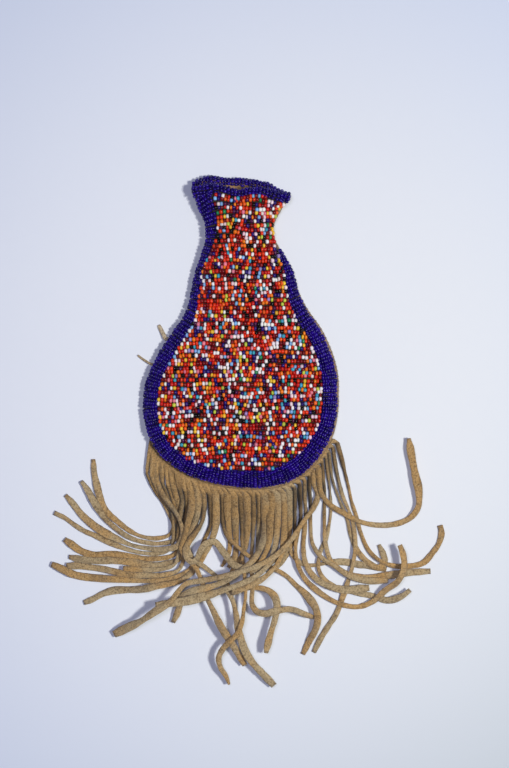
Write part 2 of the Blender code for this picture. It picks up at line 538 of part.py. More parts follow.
def thong_rings(route, heights, root_width):
    """Four corners at each point of a thong: under and over, on its left and right."""
    middle = np.stack([route[:, 0], route[:, 1], heights + FRINGE_HIDE / 2], 1)
    tangent = np.gradient(middle, axis=0)
    tangent /= np.linalg.norm(tangent, axis=1, keepdims=True)
    side = np.stack([-tangent[:, 1], tangent[:, 0], np.zeros(len(route))], 1)
    side /= np.linalg.norm(side, axis=1, keepdims=True)
    half = thong_width(plan_run(route), root_width)[:, None] / 2
    thick = np.array([0, 0, FRINGE_HIDE / 2])
    return np.stack([middle - side * half - thick, middle + side * half - thick,
                     middle + side * half + thick, middle - side * half + thick], 1)


def make_fringe(made_of):
    """One strip of hide: a heading that is caught in the seam, slit from its lower edge into
    thongs. Each thong grows out of its own stretch of that edge, so the strip stays one piece."""
    corners = slit_points()
    names = list(THONGS)
    routes, root_widths = {}, {}
    for i, name in enumerate(names):
        root = (corners[i] + corners[i + 1]) / 2
        routes[name] = smooth_route([tuple(root), *THONGS[name][1]], RING_SPACING, RING_TURN)
        cut = corners[i + 1] - corners[i]
        leaves = np.array(THONGS[name][1][0][:2]) - root
        leaves /= np.linalg.norm(leaves)
        across = abs(cut[0] * leaves[1] - cut[1] * leaves[0])
        root_widths[name] = max(NARROWEST, ROOT_FILL * across)
    heights = drape(routes, root_widths)

    # the heading's upper edge follows the seam, a little way inside it
    share = np.linspace(0, 1, 400)
    inside = edge_point(share, np.full(400, HEADING_IN_SEAM))
    share = share[inside[:, 1] < HEADING_TOP_Y]
    share = np.linspace(share[0], share[-1], len(corners))
    upper = edge_point(share, np.full(len(share), HEADING_IN_SEAM))
    sewn = edge_point(share, np.zeros(len(share)))
    beyond = edge_point(share, np.full(len(share), -HEADING_PAST_SEAM))
    upper_height = layers(upper[:, 0], upper[:, 1])[1] + CLEARANCE
    sewn_height = layers(sewn[:, 0], sewn[:, 1])[1] + CLEARANCE

    points, faces = [], []
    rows = [(upper, upper_height), (sewn, sewn_height), (beyond, sewn_height),
            (corners, np.full(len(corners), SLIT_HEIGHT))]
    columns = len(corners)
    for flat, under in rows:
        for lift in (0, FRINGE_HIDE):
            points += [(x, y, z + lift) for (x, y), z in zip(flat, under)]

    def at_row(row, over, column):
        return (2 * row + over) * columns + column

    for column in range(columns - 1):
        right = column + 1
        for row in range(len(rows) - 1):
            faces.append((at_row(row, 1, column), at_row(row + 1, 1, column),
                          at_row(row + 1, 1, right), at_row(row, 1, right)))
            faces.append((at_row(row, 0, column), at_row(row, 0, right),
                          at_row(row + 1, 0, right), at_row(row + 1, 0, column)))
        faces.append((at_row(0, 0, column), at_row(0, 1, column), at_row(0, 1, right), at_row(0, 0, right)))
    last_column = columns - 1
    for row in range(len(rows) - 1):
        faces.append((at_row(row, 0, 0), at_row(row + 1, 0, 0), at_row(row + 1, 1, 0), at_row(row, 1, 0)))
        faces.append((at_row(row, 1, last_column), at_row(row + 1, 1, last_column),
                      at_row(row + 1, 0, last_column), at_row(row, 0, last_column)))

    slit_row = len(rows) - 1
    for i, name in enumerate(names):
        ring = [at_row(slit_row, 0, i), at_row(slit_row, 0, i + 1),
                at_row(slit_row, 1, i + 1), at_row(slit_row, 1, i)]
        for section in thong_rings(routes[name], heights[name], root_widths[name])[1:]:
            first = len(points)
            points += [tuple(p) for p in section]
            following = list(range(first, first + 4))
            for k in range(4):
                m = (k + 1) % 4
                faces.append((ring[k], ring[m], following[m], following[k]))
            ring = following
        faces.append(tuple(ring))
    return solid("fringe", points, faces, made_of)


def make_tie_end(name, tie, made_of):
    """A short end of thin thong that leaves the side seam and lies down on the floor."""
    height_on_bag, steps, width = tie
    left_side = EDGE[:len(EDGE) // 2, 1]
    along_seam = np.interp(-height_on_bag, -left_side, EDGE_LENGTH[:len(left_side)]) / EDGE_LENGTH[-1]
    seam = edge_point(np.array([along_seam]), np.zeros(1))[0]
    start = edge_point(np.array([along_seam]), np.array([-CLEARANCE]))[0]
    leaves = edge_point(np.array([along_seam]), np.array([-CLEARANCE - 1]))[0]
    points = [start, leaves, *(start + np.array(step) for step in steps)]
    route = smooth_route(points, 1.8)
    seam_height = float(layers(seam[:1], seam[1:])[1][0]) + CLEARANCE / 2
    fall = ease(plan_run(route), 1.0, 0.85 * plan_run(route)[-1])
    under = (seam_height - TIE_HIDE / 2) * (1 - fall)
    along = np.gradient(route[:, :2], axis=0)
    along /= np.linalg.norm(along, axis=1, keepdims=True)
    side = np.stack([-along[:, 1], along[:, 0]], 1) * width / 2
    rings = []
    for left, right, height in zip(route[:, :2] - side, route[:, :2] + side, under):
        low = np.column_stack([[left, right], [height] * 2])
        rings.append(sheet_ring(low + np.array([0, 0, TIE_HIDE]), low))
    return loft(name, rings, made_of)


def clear_scene():
    for old in list(bpy.data.objects):
        bpy.data.objects.remove(old)


def face_outwards():
    """Turns inside-out meshes round, by the sign of their volume."""
    for made in bpy.context.collection.objects:
        mesh = made.data
        mesh.calc_loop_triangles()
        where = np.array([v.co for v in mesh.vertices])
        a, b, c = (where[[t.vertices[k] for t in mesh.loop_triangles]] for k in range(3))
        if (a * np.cross(b, c)).sum() < 0:
            mesh.flip_normals()


def build():
    clear_scene()
    make_back_panel(material("back_hide", HIDE_TAN, 0.85))
    make_front_panel(material("front_hide", HIDE_TAN, 0.85))
    make_field(material("field_glass", FIELD_GLASS, 0.15))
    make_border(material("border_glass", NAVY_GLASS, 0.15))
    make_rim("front_rim", FRONT_LIP, 1, material("front_rim_glass", NAVY_GLASS, 0.15))
    make_rim("back_rim", BACK_LIP, -1, material("back_rim_glass", NAVY_GLASS, 0.15))
    make_fringe(material("fringe_hide", HIDE_PALE, 0.9))
    make_tie_end("tie_end_upper", TIE_UPPER, material("tie_upper_hide", HIDE_PALE, 0.9))
    make_tie_end("tie_end_lower", TIE_LOWER, material("tie_lower_hide", HIDE_PALE, 0.9))
    face_outwards()


build()
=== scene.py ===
# %% [markdown]
# # A beaded hide pouch with a long fringe
#
# The pouch is gourd-shaped: two panels of smoked hide, sewn together along the sides and the
# bottom and open at the neck. Its front is covered with seed beads of many colours, a navy band
# of beads runs round the edge, and both lips of the mouth are bound with navy beads. One strip
# of hide is caught in the bottom seam and slit into long thongs. It lies on its back.
#
# The fixed model comes first. Every piece below is built in the same place as the solid that it
# stands for, so nothing needs fitting by eye.

import bpy
import numpy as np
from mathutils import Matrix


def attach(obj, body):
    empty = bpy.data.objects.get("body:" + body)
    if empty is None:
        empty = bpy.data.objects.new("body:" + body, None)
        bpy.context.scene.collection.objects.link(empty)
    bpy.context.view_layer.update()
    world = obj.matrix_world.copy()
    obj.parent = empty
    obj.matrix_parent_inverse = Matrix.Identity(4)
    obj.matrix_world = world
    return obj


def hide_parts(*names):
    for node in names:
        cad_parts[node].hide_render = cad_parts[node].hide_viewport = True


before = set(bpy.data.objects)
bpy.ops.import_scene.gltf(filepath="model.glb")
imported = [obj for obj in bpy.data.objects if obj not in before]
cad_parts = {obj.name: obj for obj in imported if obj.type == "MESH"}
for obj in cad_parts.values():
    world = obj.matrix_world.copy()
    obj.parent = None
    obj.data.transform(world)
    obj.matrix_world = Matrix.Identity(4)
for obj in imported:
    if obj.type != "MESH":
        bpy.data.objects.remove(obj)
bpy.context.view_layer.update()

# %% [markdown]
# ## Camera
#
# The camera looks straight down on the middle of the picture from a little over a metre. One
# pixel is 0.54 mm at about the height of the beads, 9 mm over the table.

# %% Camera
MM = 0.001
PIXEL = 0.54 * MM
PICTURE_WIDE, PICTURE_TALL = 509, 768
PICTURE_MIDDLE = (7.8 * MM, 4.9 * MM)
BEAD_LEVEL = 9 * MM
CAMERA_AWAY = 1.15

scene = bpy.context.scene
camera_data = bpy.data.cameras.new("camera")
camera_data.sensor_fit = "VERTICAL"
camera_data.angle = 2 * np.arctan(PICTURE_TALL * PIXEL / 2 / CAMERA_AWAY)
camera = bpy.data.objects.new("camera", camera_data)
camera.location = (*PICTURE_MIDDLE, BEAD_LEVEL + CAMERA_AWAY)
scene.collection.objects.link(camera)
scene.camera = camera
print("picture covers", [round(n * PIXEL * 1000) for n in (PICTURE_WIDE, PICTURE_TALL)], "mm")

# %% [markdown]
# ## Shader arithmetic
#
# Shader maths reads best as plain arithmetic. A `Wire` holds one output of a node, and an
# expression such as `grain * 0.3 + 0.1` adds the Math nodes behind it. A `Sheet` adds every
# other node through one method. A `Finish` is a sheet with a Principled shader, and what is the
# same all over the surface is set straight on that shader.


# %% Wires
class Wire:
    """An output socket that takes part in arithmetic."""

    def __init__(self, sheet, socket):
        self.sheet, self.socket = sheet, socket

    def maths(self, operation, first, second):
        return self.sheet.node("ShaderNodeMath", {"operation": operation}, {0: first, 1: second})

    def __add__(self, other):
        return self.maths("ADD", self, other)

    def __sub__(self, other):
        return self.maths("SUBTRACT", self, other)

    def __rsub__(self, other):
        return self.maths("SUBTRACT", other, self)

    def __mul__(self, other):
        return self.maths("MULTIPLY", self, other)

    __radd__, __rmul__ = __add__, __mul__


print("a wire can be added, taken away and multiplied, from both sides")


# %% Sheets
class Sheet:
    """The nodes of one material or of the world."""

    def __init__(self, tree):
        self.nodes, self.links = tree.nodes, tree.links

    def plug(self, value, socket):
        if isinstance(value, Wire):
            self.links.new(value.socket, socket)
        elif isinstance(value, tuple) and len(value) == 3 and socket.type == "RGBA":
            socket.default_value = (*value, 1)
        else:
            socket.default_value = value

    def node(self, kind, settings=None, sockets=None, out=0):
        made = self.nodes.new(kind)
        for name, value in (settings or {}).items():
            setattr(made, name, value)
        for name, value in (sockets or {}).items():
            self.plug(value, made.inputs[name])
        return Wire(self, made.outputs[out])

    def place(self):
        return self.node("ShaderNodeTexCoord", out="Object")

    def part(self, vector, axis):
        """One of the three numbers of a vector: 0 is X, 1 is Y and 2 is Z."""
        return self.node("ShaderNodeSeparateXYZ", None, {0: vector}, out=axis)

    def noise(self, scale, detail=3.0, roughness=0.55, vector=None):
        return self.node("ShaderNodeTexNoise", None,
                         {"Vector": vector or self.place(), "Scale": scale, "Detail": detail,
                          "Roughness": roughness})

    def blend(self, share, low, high, how="MIX"):
        """A colour between two, or one laid over the other in the given way."""
        return self.node("ShaderNodeMix", {"data_type": "RGBA", "blend_type": how},
                         {0: share, 6: low, 7: high}, out=2)

    def fade(self, value, low, high, start=0.0, end=1.0):
        """A number that goes from start to end as the value goes from low to high."""
        return self.node("ShaderNodeMapRange", {"interpolation_type": "SMOOTHSTEP"},
                         {"Value": value, "From Min": low, "From Max": high, "To Min": start,
                          "To Max": end})

    def note(self, name, out="Fac"):
        """A number or colour that the mesh keeps at each point."""
        return self.node("ShaderNodeAttribute", {"attribute_name": name}, out=out)

    def relief(self, height, strength, distance, under=None):
        sockets = {"Height": height, "Strength": strength, "Distance": distance}
        if under:
            sockets["Normal"] = under
        return self.node("ShaderNodeBump", None, sockets)


print("short forms on a sheet:", [name for name in vars(Sheet) if not name.startswith("_")])


# %% Finishes and colours
class Finish(Sheet):
    """One material: a Principled shader, and the nodes that feed it."""

    def __init__(self, name, **constants):
        self.material = bpy.data.materials.new(name)
        self.material.use_nodes = True
        super().__init__(self.material.node_tree)
        self.shader = self.nodes["Principled BSDF"]
        self.feed(**constants)

    def feed(self, **values):
        for socket, value in values.items():
            self.plug(value, self.shader.inputs[socket.replace("_", " ")])


def tint(red, green, blue):
    """A colour from its everyday 0 to 255 values."""
    share = np.array([red, green, blue]) / 255
    dark, bright = share / 12.92, ((share + 0.055) / 1.055) ** 2.4
    return tuple(float(c) for c in np.where(share <= 0.04045, dark, bright))


print("a mid grey is", round(tint(128, 128, 128)[0], 3), "in the shader")

# %% [markdown]
# ## Light
#
# A small soft box on the right, about 67 degrees up, throws short shadows to the left. A second
# one, twice as wide and cool in tone, hangs above the camera and fills the shadows. The room
# itself is dim, so that glass beads reflect the lamps as small dots and stay deep in colour
# everywhere else. Together they light a level surface so that a colour renders about as it is
# written.


# %% Lamps and room
def soft_box(name, place, size, power, colour):
    """A square lamp that faces the middle of the bag."""
    data = bpy.data.lights.new(name, "AREA")
    data.size = size
    data.energy = power
    data.color = colour
    lamp = bpy.data.objects.new(name, data)
    lamp.location = place
    lamp.rotation_euler = (-lamp.location.normalized()).to_track_quat("-Z", "Y").to_euler()
    scene.collection.objects.link(lamp)


KEY_LIGHT = {"place": (0.45, -0.05, 1.06), "size": 0.12, "power": 9.5, "colour": (1.0, 0.99, 0.92)}
OVERHEAD_LIGHT = {"place": (-0.12, 0.10, 1.45), "size": 0.24, "power": 5.0, "colour": (0.86, 0.87, 1.19)}
ROOM_SIDE, ROOM_OVERHEAD = (0.15, 0.16, 0.195), (0.06, 0.065, 0.08)
soft_box("key_light", **KEY_LIGHT)
soft_box("overhead_light", **OVERHEAD_LIGHT)

scene.view_settings.view_transform = "Standard"
scene.world = bpy.data.worlds.new("room")
scene.world.use_nodes = True
room = Sheet(scene.world.node_tree)
upward = room.part(room.node("ShaderNodeTexCoord", out="Generated"), 2)
glow = room.blend(room.fade(upward, 0.0, 1.0), ROOM_SIDE, ROOM_OVERHEAD)
room.plug(glow, room.nodes["Background"].inputs["Color"])

# %% [markdown]
# ## Materials
#
# ### Smoked hide
#
# Brain-tanned and smoked hide is a soft suede: matt, with a short nap, cloudy from yellow tan to
# grey brown, and full of small dark pores and creases. Broad noise makes the clouds, finer
# noise the mottling, cells the pores, and a fine bump the nap. The mesh notes at each point
# where the hide was cut, and it is darker there. It also notes where the hide lies deep in a
# crease, between crowded thongs or under beads, and paints shade there: the colour is painted
# much darker. Three hides are made from one recipe: the panels, the fringe, which is paler and
# dustier, and the thin thong of the ties.


# %% Hide
CLOUD_SCALE, PATCH_SCALE, MOTTLE_SCALE = 48.0, 230.0, 950.0
SPECKLE_SCALE, GRAIN_SCALE, PORE_SCALE = 1900.0, 3800.0, 620.0
NAP_DEPTH, LUMP_DEPTH = 0.35 * MM, 1.2 * MM


def hide(name, pale, tan, smoke, cut):
    """Hide in four colours: its pale and its tan ground, the smoky patches, and cut edges. Much darkened, the
    cut colour is also the painted shade.
    """
    made = Finish(name, Roughness=0.9, Sheen_Weight=0.25, Sheen_Roughness=0.6, Specular_IOR_Level=0.25)
    where = made.place()
    clouds = made.noise(CLOUD_SCALE, 4.0, 0.6, where) + made.note("tone") * 0.15
    patches = made.noise(PATCH_SCALE, 4.0, 0.6, where)
    mottle = made.noise(MOTTLE_SCALE, 3.0, 0.65, where)
    speckle = made.noise(SPECKLE_SCALE, 3.0, 0.6, where)
    grain = made.noise(GRAIN_SCALE, 2.0, 0.6, where)
    pores = made.node("ShaderNodeTexVoronoi", {"feature": "F1"}, {"Vector": where, "Scale": PORE_SCALE})
    pore = made.fade(pores, 0.12, 0.28, 1.0, 0.0) * made.fade(patches, 0.40, 0.62)
    dusty, shade_colour = tuple(c * 1.25 for c in pale), tuple(c * 0.2 for c in cut)
    colour = made.blend(made.fade(clouds, 0.36, 0.66), tan, pale)
    # The last layer is painted shade: where the mesh notes shade, in creases, between crowded thongs and
    # under beads, the colour is painted much darker.
    for share, over in ((made.fade(patches, 0.50, 0.74, 0.0, 0.55), smoke),
                        (made.fade(mottle, 0.44, 0.66, 0.0, 0.6), smoke),
                        (made.fade(speckle, 0.34, 0.48, 0.55, 0.0), dusty),
                        (pore * 0.5, cut),
                        (made.fade(speckle, 0.55, 0.70, 0.0, 0.5), cut),
                        (made.note("cut_edge") * made.fade(mottle, 0.30, 0.62, 0.35, 0.9), cut),
                        (made.note("shade") * 0.96, shade_colour)):
        colour = made.blend(share, colour, over)
    lumps = made.relief(patches, 0.8, LUMP_DEPTH)
    made.feed(Base_Color=colour, Roughness=made.fade(mottle, 0.3, 0.7, 0.82, 0.97),
              Normal=made.relief(grain * 0.6 + mottle * 0.9, 1.0, NAP_DEPTH, lumps))
    return made.material


panel_hide = hide("panel_hide", pale=tint(186, 152, 112), tan=tint(160, 120, 80), smoke=tint(112, 82, 56),
                  cut=tint(72, 50, 34))
fringe_hide = hide("fringe_hide", pale=tint(188, 166, 126), tan=tint(192, 151, 92), smoke=tint(108, 86, 58),
                   cut=tint(56, 40, 26))
tie_hide = hide("tie_hide", pale=tint(208, 190, 158), tan=tint(190, 166, 128), smoke=tint(146, 122, 90),
                cut=tint(112, 90, 62))
print("hides:", [m.name for m in (panel_hide, fringe_hide, tie_hide)])

# %% [markdown]
# ### Glass seed beads
#
# Each bead is a short piece of drawn glass tube, tumbled round. Its colour is kept at its points
# in the mesh, so one finish serves hundreds of beads. Opaque glass has a bright coat and a little
# haze below it. Deep clear glass, such as the navy of the border, is darker in the middle and
# lights up a little at its rim, where light comes through: that is painted light, which Layer
# Weight paints into the colour, and a little of it on opaque glass too. The coat is a little
# rough, so that a lamp leaves one soft dot on each bead and no hard glint.


# %% Glass
HAZE_SCALE, PIT_SCALE, PIT_DEPTH = 1400.0, 5200.0, 0.08 * MM
HAZE_TINT = (0.55, 0.5, 0.5)


def bead_glass(name, coat, gleam, shine, roughness):
    made = Finish(name, Coat_Roughness=0.24, Specular_IOR_Level=shine, IOR=1.5)
    where = made.place()
    haze = made.noise(HAZE_SCALE, 2.0, 0.6, where)
    pits = made.noise(PIT_SCALE, 2.0, 0.6, where)
    colour = made.note("bead_colour", "Color")
    rim = made.node("ShaderNodeLayerWeight", None, {"Blend": 0.35}, out="Facing")
    # Painted light: the colour is brightened towards each bead's rim, as if lit through the glass.
    lit = made.blend(rim * gleam, colour, made.blend(1.0, colour, colour, "SCREEN"))
    hazy = made.blend(1.0, lit, HAZE_TINT, "MULTIPLY")
    lit = made.blend(made.fade(haze, 0.45, 0.8, 0.0, 0.22), lit, hazy)
    made.feed(Base_Color=lit, Roughness=made.fade(haze, 0.3, 0.8, roughness - 0.05, roughness + 0.14),
              Coat_Weight=made.fade(pits, 0.35, 0.75, coat, coat * 0.6),
              Normal=made.relief(pits, 0.12, PIT_DEPTH))
    return made.material


opaque_glass = bead_glass("opaque_glass", coat=0.55, gleam=0.15, shine=0.12, roughness=0.24)
clear_glass = bead_glass("clear_glass", coat=0.7, gleam=0.30, shine=0.05, roughness=0.14)
navy_glass = bead_glass("navy_glass", coat=0.8, gleam=0.30, shine=0.0, roughness=0.14)
print("glass:", [m.name for m in (opaque_glass, clear_glass, navy_glass)])

# %% Sewing thread
TWIST_SCALE, TWIST_DEPTH = 2600.0, 0.1 * MM
thread_fibre = Finish("thread_fibre", Roughness=0.85, Sheen_Weight=0.2)
twist = thread_fibre.noise(TWIST_SCALE)
thread_fibre.feed(Base_Color=thread_fibre.blend(twist, tint(120, 96, 70), tint(178, 152, 116)),
                  Normal=thread_fibre.relief(twist, 0.4, TWIST_DEPTH))
sewing_thread = thread_fibre.material
print("thread:", sewing_thread.name)

# %% [markdown]
# ## The shape of the bag
#
# The outline is half a width at each height, taken to both sides of a middle line that leans a
# little. `layers` then says how high the four faces of the two panels lie anywhere inside it:
# low and close together at the seam, and risen apart within 15 mm of it. Each piece is laid on
# these faces. All of this is in millimetres, and becomes metres as a mesh is made.

# %% The outline
MOUTH_Y, NECK_Y, HIP_Y, BELLY_Y, BOTTOM_Y = 109.0, 86.0, 58.0, -5.0, -51.2
MOUTH_HALF, NECK_HALF, HIP_HALF, BELLY_HALF = 26.5, 18.2, 28.0, 52.8
BOTTOM_ROUNDNESS = 2.15
LEAN = [(-51.2, 6.5), (-45.0, 3.2), (-35.0, 0.6), (-20.0, 0.5), (0.0, 1.0), (22.0, 3.4), (38.0, 4.8),
        (56.0, 2.8), (72.0, 1.8), (86.0, 0.0), (100.0, 0.2), (109.0, 0.6)]
FRONT_LIP = [(-27.0, 0.0), (-21.0, 1.6), (-15.0, 2.2), (-8.0, 1.0), (-1.0, -1.5), (6.0, -0.3), (12.0, 0.0),
             (17.0, -1.0), (22.0, -2.6), (28.0, -3.6)]
BACK_LIP = [(-27.0, 2.2), (-22.0, 5.2), (-17.0, 6.5), (-8.0, 5.4), (4.0, 4.9), (11.0, 3.6), (15.0, 3.0),
            (20.5, 0.0), (26.0, -2.7)]
LIP_REACH = 10.0


def smooth_curve(at, knots):
    """A smooth curve through the knots, read at the given places. Past the ends it stays level."""
    x, y = np.array(knots, float).T
    slope = np.gradient(y, x)
    at = np.clip(at, x[0], x[-1])
    i = np.clip(np.searchsorted(x, at) - 1, 0, len(x) - 2)
    step = x[i + 1] - x[i]
    t = (at - x[i]) / step
    return ((1 + 2 * t) * (1 - t) ** 2 * y[i] + t * (1 - t) ** 2 * step * slope[i]
            + t * t * (3 - 2 * t) * y[i + 1] + t * t * (t - 1) * step * slope[i + 1])


def ease(value, start, end):
    t = np.clip((value - start) / (end - start), 0, 1)
    return t * t * (3 - 2 * t)


def between(low, high, along, out):
    return (low[0] + (high[0] - low[0]) * along, low[1] + (high[1] - low[1]) * out)


BELLY, HIP = (BELLY_Y, BELLY_HALF), (HIP_Y, HIP_HALF)
NECK, MOUTH = (NECK_Y, NECK_HALF), (MOUTH_Y, MOUTH_HALF)
SIDES = [BELLY, between(BELLY, HIP, 0.21, 0.05), between(BELLY, HIP, 0.43, 0.25),
         between(BELLY, HIP, 0.62, 0.52), between(BELLY, HIP, 0.78, 0.79), HIP,
         between(HIP, NECK, 0.29, 0.21), between(HIP, NECK, 0.64, 0.66), NECK,
         between(NECK, MOUTH, 0.27, 0.08), between(NECK, MOUTH, 0.65, 0.58), MOUTH]


def half_width(y):
    depth = np.clip((BELLY_Y - y) / (BELLY_Y - BOTTOM_Y), 0, 1)
    bottom = BELLY_HALF * (1 - depth ** BOTTOM_ROUNDNESS) ** (1 / BOTTOM_ROUNDNESS)
    return np.where(y < BELLY_Y, bottom, smooth_curve(y, SIDES))


def outline(steps_up=90, steps_round=60):
    """The sewn edge from the left corner of the mouth, round the bottom, to the right corner."""
    upper = np.linspace(MOUTH_Y, BELLY_Y, steps_up)
    turn = np.linspace(0, np.pi / 2, steps_round)[1:]
    y = np.concatenate([upper, BELLY_Y + (BOTTOM_Y - BELLY_Y) * np.sin(turn)])
    middle, half = smooth_curve(y, LEAN), half_width(y)
    left = np.stack([middle - half, y], 1)
    right = np.stack([middle + half, y], 1)
    return np.concatenate([left, right[-2::-1]])


EDGE = outline()
print("outline:", len(EDGE), "points")


# %% Paths, and places on the edge
def unit(vectors):
    return vectors / np.linalg.norm(vectors, axis=-1, keepdims=True)


def to_left(forward):
    """The level direction a quarter turn to the left of another one."""
    return np.stack([-forward[..., 1], forward[..., 0]], -1)


def run_along(path):
    """How far along a path each of its points is."""
    return np.concatenate([[0], np.cumsum(np.linalg.norm(np.diff(path, axis=0), axis=1))])


def read_path(path, run, at):
    """The points at some distances along a path."""
    return np.stack([np.interp(at, run, line) for line in path.T], -1)


def smooth_path(path, run, at):
    """The same, on a smooth curve through the points of the path."""
    return np.stack([smooth_curve(at, list(zip(run, line))) for line in path.T], -1)


EDGE_RUN = run_along(EDGE)


def edge_point(share, inward):
    """A point at a share of the way round the sewn edge, so far in from it."""
    along = share * EDGE_RUN[-1]
    here, ahead, behind = (read_path(EDGE, EDGE_RUN, along + step) for step in (0, 2, -2))
    return here + to_left(unit(ahead - behind)) * np.asarray(inward)[..., None]


def inset(x, y):
    """How far each point lies from the sewn edge."""
    start, run = EDGE[:-1], np.diff(EDGE, axis=0)
    away_x, away_y = x[..., None] - start[:, 0], y[..., None] - start[:, 1]
    t = np.clip((away_x * run[:, 0] + away_y * run[:, 1]) / (run ** 2).sum(1), 0, 1)
    return np.hypot(away_x - t * run[:, 0], away_y - t * run[:, 1]).min(-1)


print("sewn edge:", round(EDGE_RUN[-1]), "mm")


# %% The faces of the two panels
BACK_HIDE, FRONT_HIDE, FRINGE_HIDE, CLEARANCE = 1.3, 1.2, 1.2, 0.3
BELLY_CAVITY, NECK_CAVITY, MOUTH_CAVITY = 8.9, 8.8, 10.2
SHOULDER, FULLNESS = 15.0, 2.3
BELLY_SEAM_LIFT, MOUTH_SEAM_LIFT, MOUTH_SEAM_OPENING, LIP_LIFT = 0.8, 4.4, 3.4, 2.6
RIM_HEIGHT = 5.0
HEADING_TOP_Y, FRINGE_SEAM_END_Y = -23.0, -12.0


def layers(x, y):
    """Heights of the back panel's two faces and the front panel's two faces."""
    full = 1 - (1 - np.clip(inset(x, y) / SHOULDER, 0, 1)) ** FULLNESS
    seam_lift = BELLY_SEAM_LIFT + (MOUTH_SEAM_LIFT - BELLY_SEAM_LIFT) * ease(y, HIP_Y, MOUTH_Y)
    lip_lift = LIP_LIFT * ease(y, NECK_Y, MOUTH_Y)
    back_under = lip_lift + (seam_lift - lip_lift) * (1 - full)
    back_top = back_under + BACK_HIDE
    heading_room = (FRINGE_HIDE + 2 * CLEARANCE) * ease(y, FRINGE_SEAM_END_Y, HEADING_TOP_Y + 2)
    seam_room = CLEARANCE + heading_room + MOUTH_SEAM_OPENING * ease(y, MOUTH_Y - 2 * RIM_HEIGHT, MOUTH_Y)
    cavity = smooth_curve(y, [(BELLY_Y, BELLY_CAVITY), (HIP_Y, BELLY_CAVITY), (NECK_Y, NECK_CAVITY),
                              (MOUTH_Y, MOUTH_CAVITY)])
    front_under = back_top + seam_room + (cavity - lip_lift - seam_room) * full
    return back_under, back_top, front_under, front_under + FRONT_HIDE


def lip_shift(x, y, lip):
    """How far the shape of a lip moves a point near the mouth up the bag."""
    return smooth_curve(x, lip) * ease(y, MOUTH_Y - LIP_REACH, MOUTH_Y)


def on_front(x, y, height):
    """Points at a height over the front hide, square to it."""
    step = 0.5
    slope_x = (layers(x + step, y)[3] - layers(x - step, y)[3]) / (2 * step)
    slope_y = (layers(x, y + step)[3] - layers(x, y - step)[3]) / (2 * step)
    scale = height / np.sqrt(1 + slope_x ** 2 + slope_y ** 2)
    return np.stack([x - slope_x * scale, y - slope_y * scale + lip_shift(x, y, FRONT_LIP),
                     layers(x, y)[3] + scale], -1)


print("belly height over the table:", round(float(layers(np.zeros(1), np.zeros(1))[3][0]), 1), "mm")


# %% Meshes
def make_piece(name, points, faces, finish, slot=None, **notes):
    """One smooth mesh from points in millimetres. Each note is a value or a colour per point."""
    mesh = bpy.data.meshes.new(name)
    mesh.from_pydata((np.asarray(points, float) * MM).tolist(), [], [tuple(f) for f in faces])
    mesh.materials.append(finish)
    mesh.shade_smooth()
    for note, values in notes.items():
        values = np.asarray(values, np.float32)
        if values.ndim == 1:
            mesh.attributes.new(note, "FLOAT", "POINT").data.foreach_set("value", values)
        else:
            mesh.attributes.new(note, "FLOAT_COLOR", "POINT").data.foreach_set("color", values.ravel())
    piece = bpy.data.objects.new(name, mesh)
    bpy.context.scene.collection.objects.link(piece)
    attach(piece, "root")
    print(f"{name}: {len(mesh.vertices)} points, {sum(len(f) - 2 for f in faces)} triangles")
    return piece


def ring_faces(rings, size, first=0):
    """Four-sided faces between closed rings of points that follow one another."""
    r, i = np.meshgrid(np.arange(rings - 1), np.arange(size), indexing="ij")
    a = first + r * size + i
    b = first + r * size + (i + 1) % size
    return np.stack([a, b, b + size, a + size], -1).reshape(-1, 4)


def flat_end(first, size):
    """Faces that close the end of a flat ring of points, from one of its edges to the other."""
    return [(first + i, first + i + 1, first + size - 2 - i, first + size - 1 - i)
            for i in range(size // 2 - 1)]


def tube_faces(rings, size, first=0):
    """The faces of a round tube with two closed ends."""
    last = first + (rings - 1) * size
    ends = [tuple(range(first, first + size))[::-1], tuple(range(last, last + size))]
    return [*ring_faces(rings, size, first).tolist(), *ends]


def wander(run, habit, which=0):
    """A smooth line that wanders about zero. A habit is a seed, a wave length and a size."""
    seed, wave, size = habit
    knots = np.arange(0, run[-1] + 2 * wave, wave)
    heights = np.random.default_rng(seed + which).uniform(-1, 1, len(knots)) * size
    return smooth_curve(run, list(zip(knots, heights)))


print("a tube of 4 rings of 6 points has", len(tube_faces(4, 6)), "faces")

# %% [markdown]
# ## The two panels of hide
#
# Each panel is one skin with thickness: rows across the bag go out along its upper face and back
# along its lower one. Rows and columns are fine enough for the small waves that sewing leaves
# along an edge. Little shows of the front panel, only its margin outside the beads and its
# inside at the mouth, but the back panel is the whole view from behind, so both get them.

# %% Panel grid and waves
PANEL_COLUMNS, PANEL_ROWS, BOTTOM_ROWS = 72, 150, 44
PUCKER, PUCKER_PITCH, PUCKER_REACH, SWELL = 0.28, 3.4, 3.0, 0.15
RIDGE, RIDGE_REACH = 0.8, 0.8


def panel_grid(lip):
    """Points across and up a panel, with the sides and the bottom edge closely filled."""
    turn = np.radians(np.linspace(88, 3, BOTTOM_ROWS))
    rounded = BELLY_Y + (BOTTOM_Y - BELLY_Y) * np.sin(turn)
    rows = np.concatenate([rounded, np.linspace(BELLY_Y, MOUTH_Y, PANEL_ROWS - BOTTOM_ROWS)])
    spread = np.sin(np.linspace(-np.pi / 2, np.pi / 2, PANEL_COLUMNS))
    y = np.repeat(rows[:, None], PANEL_COLUMNS, 1)
    x = smooth_curve(y, LEAN) + half_width(y) * spread[None, :]
    return x, y, y + lip_shift(x, y, lip)


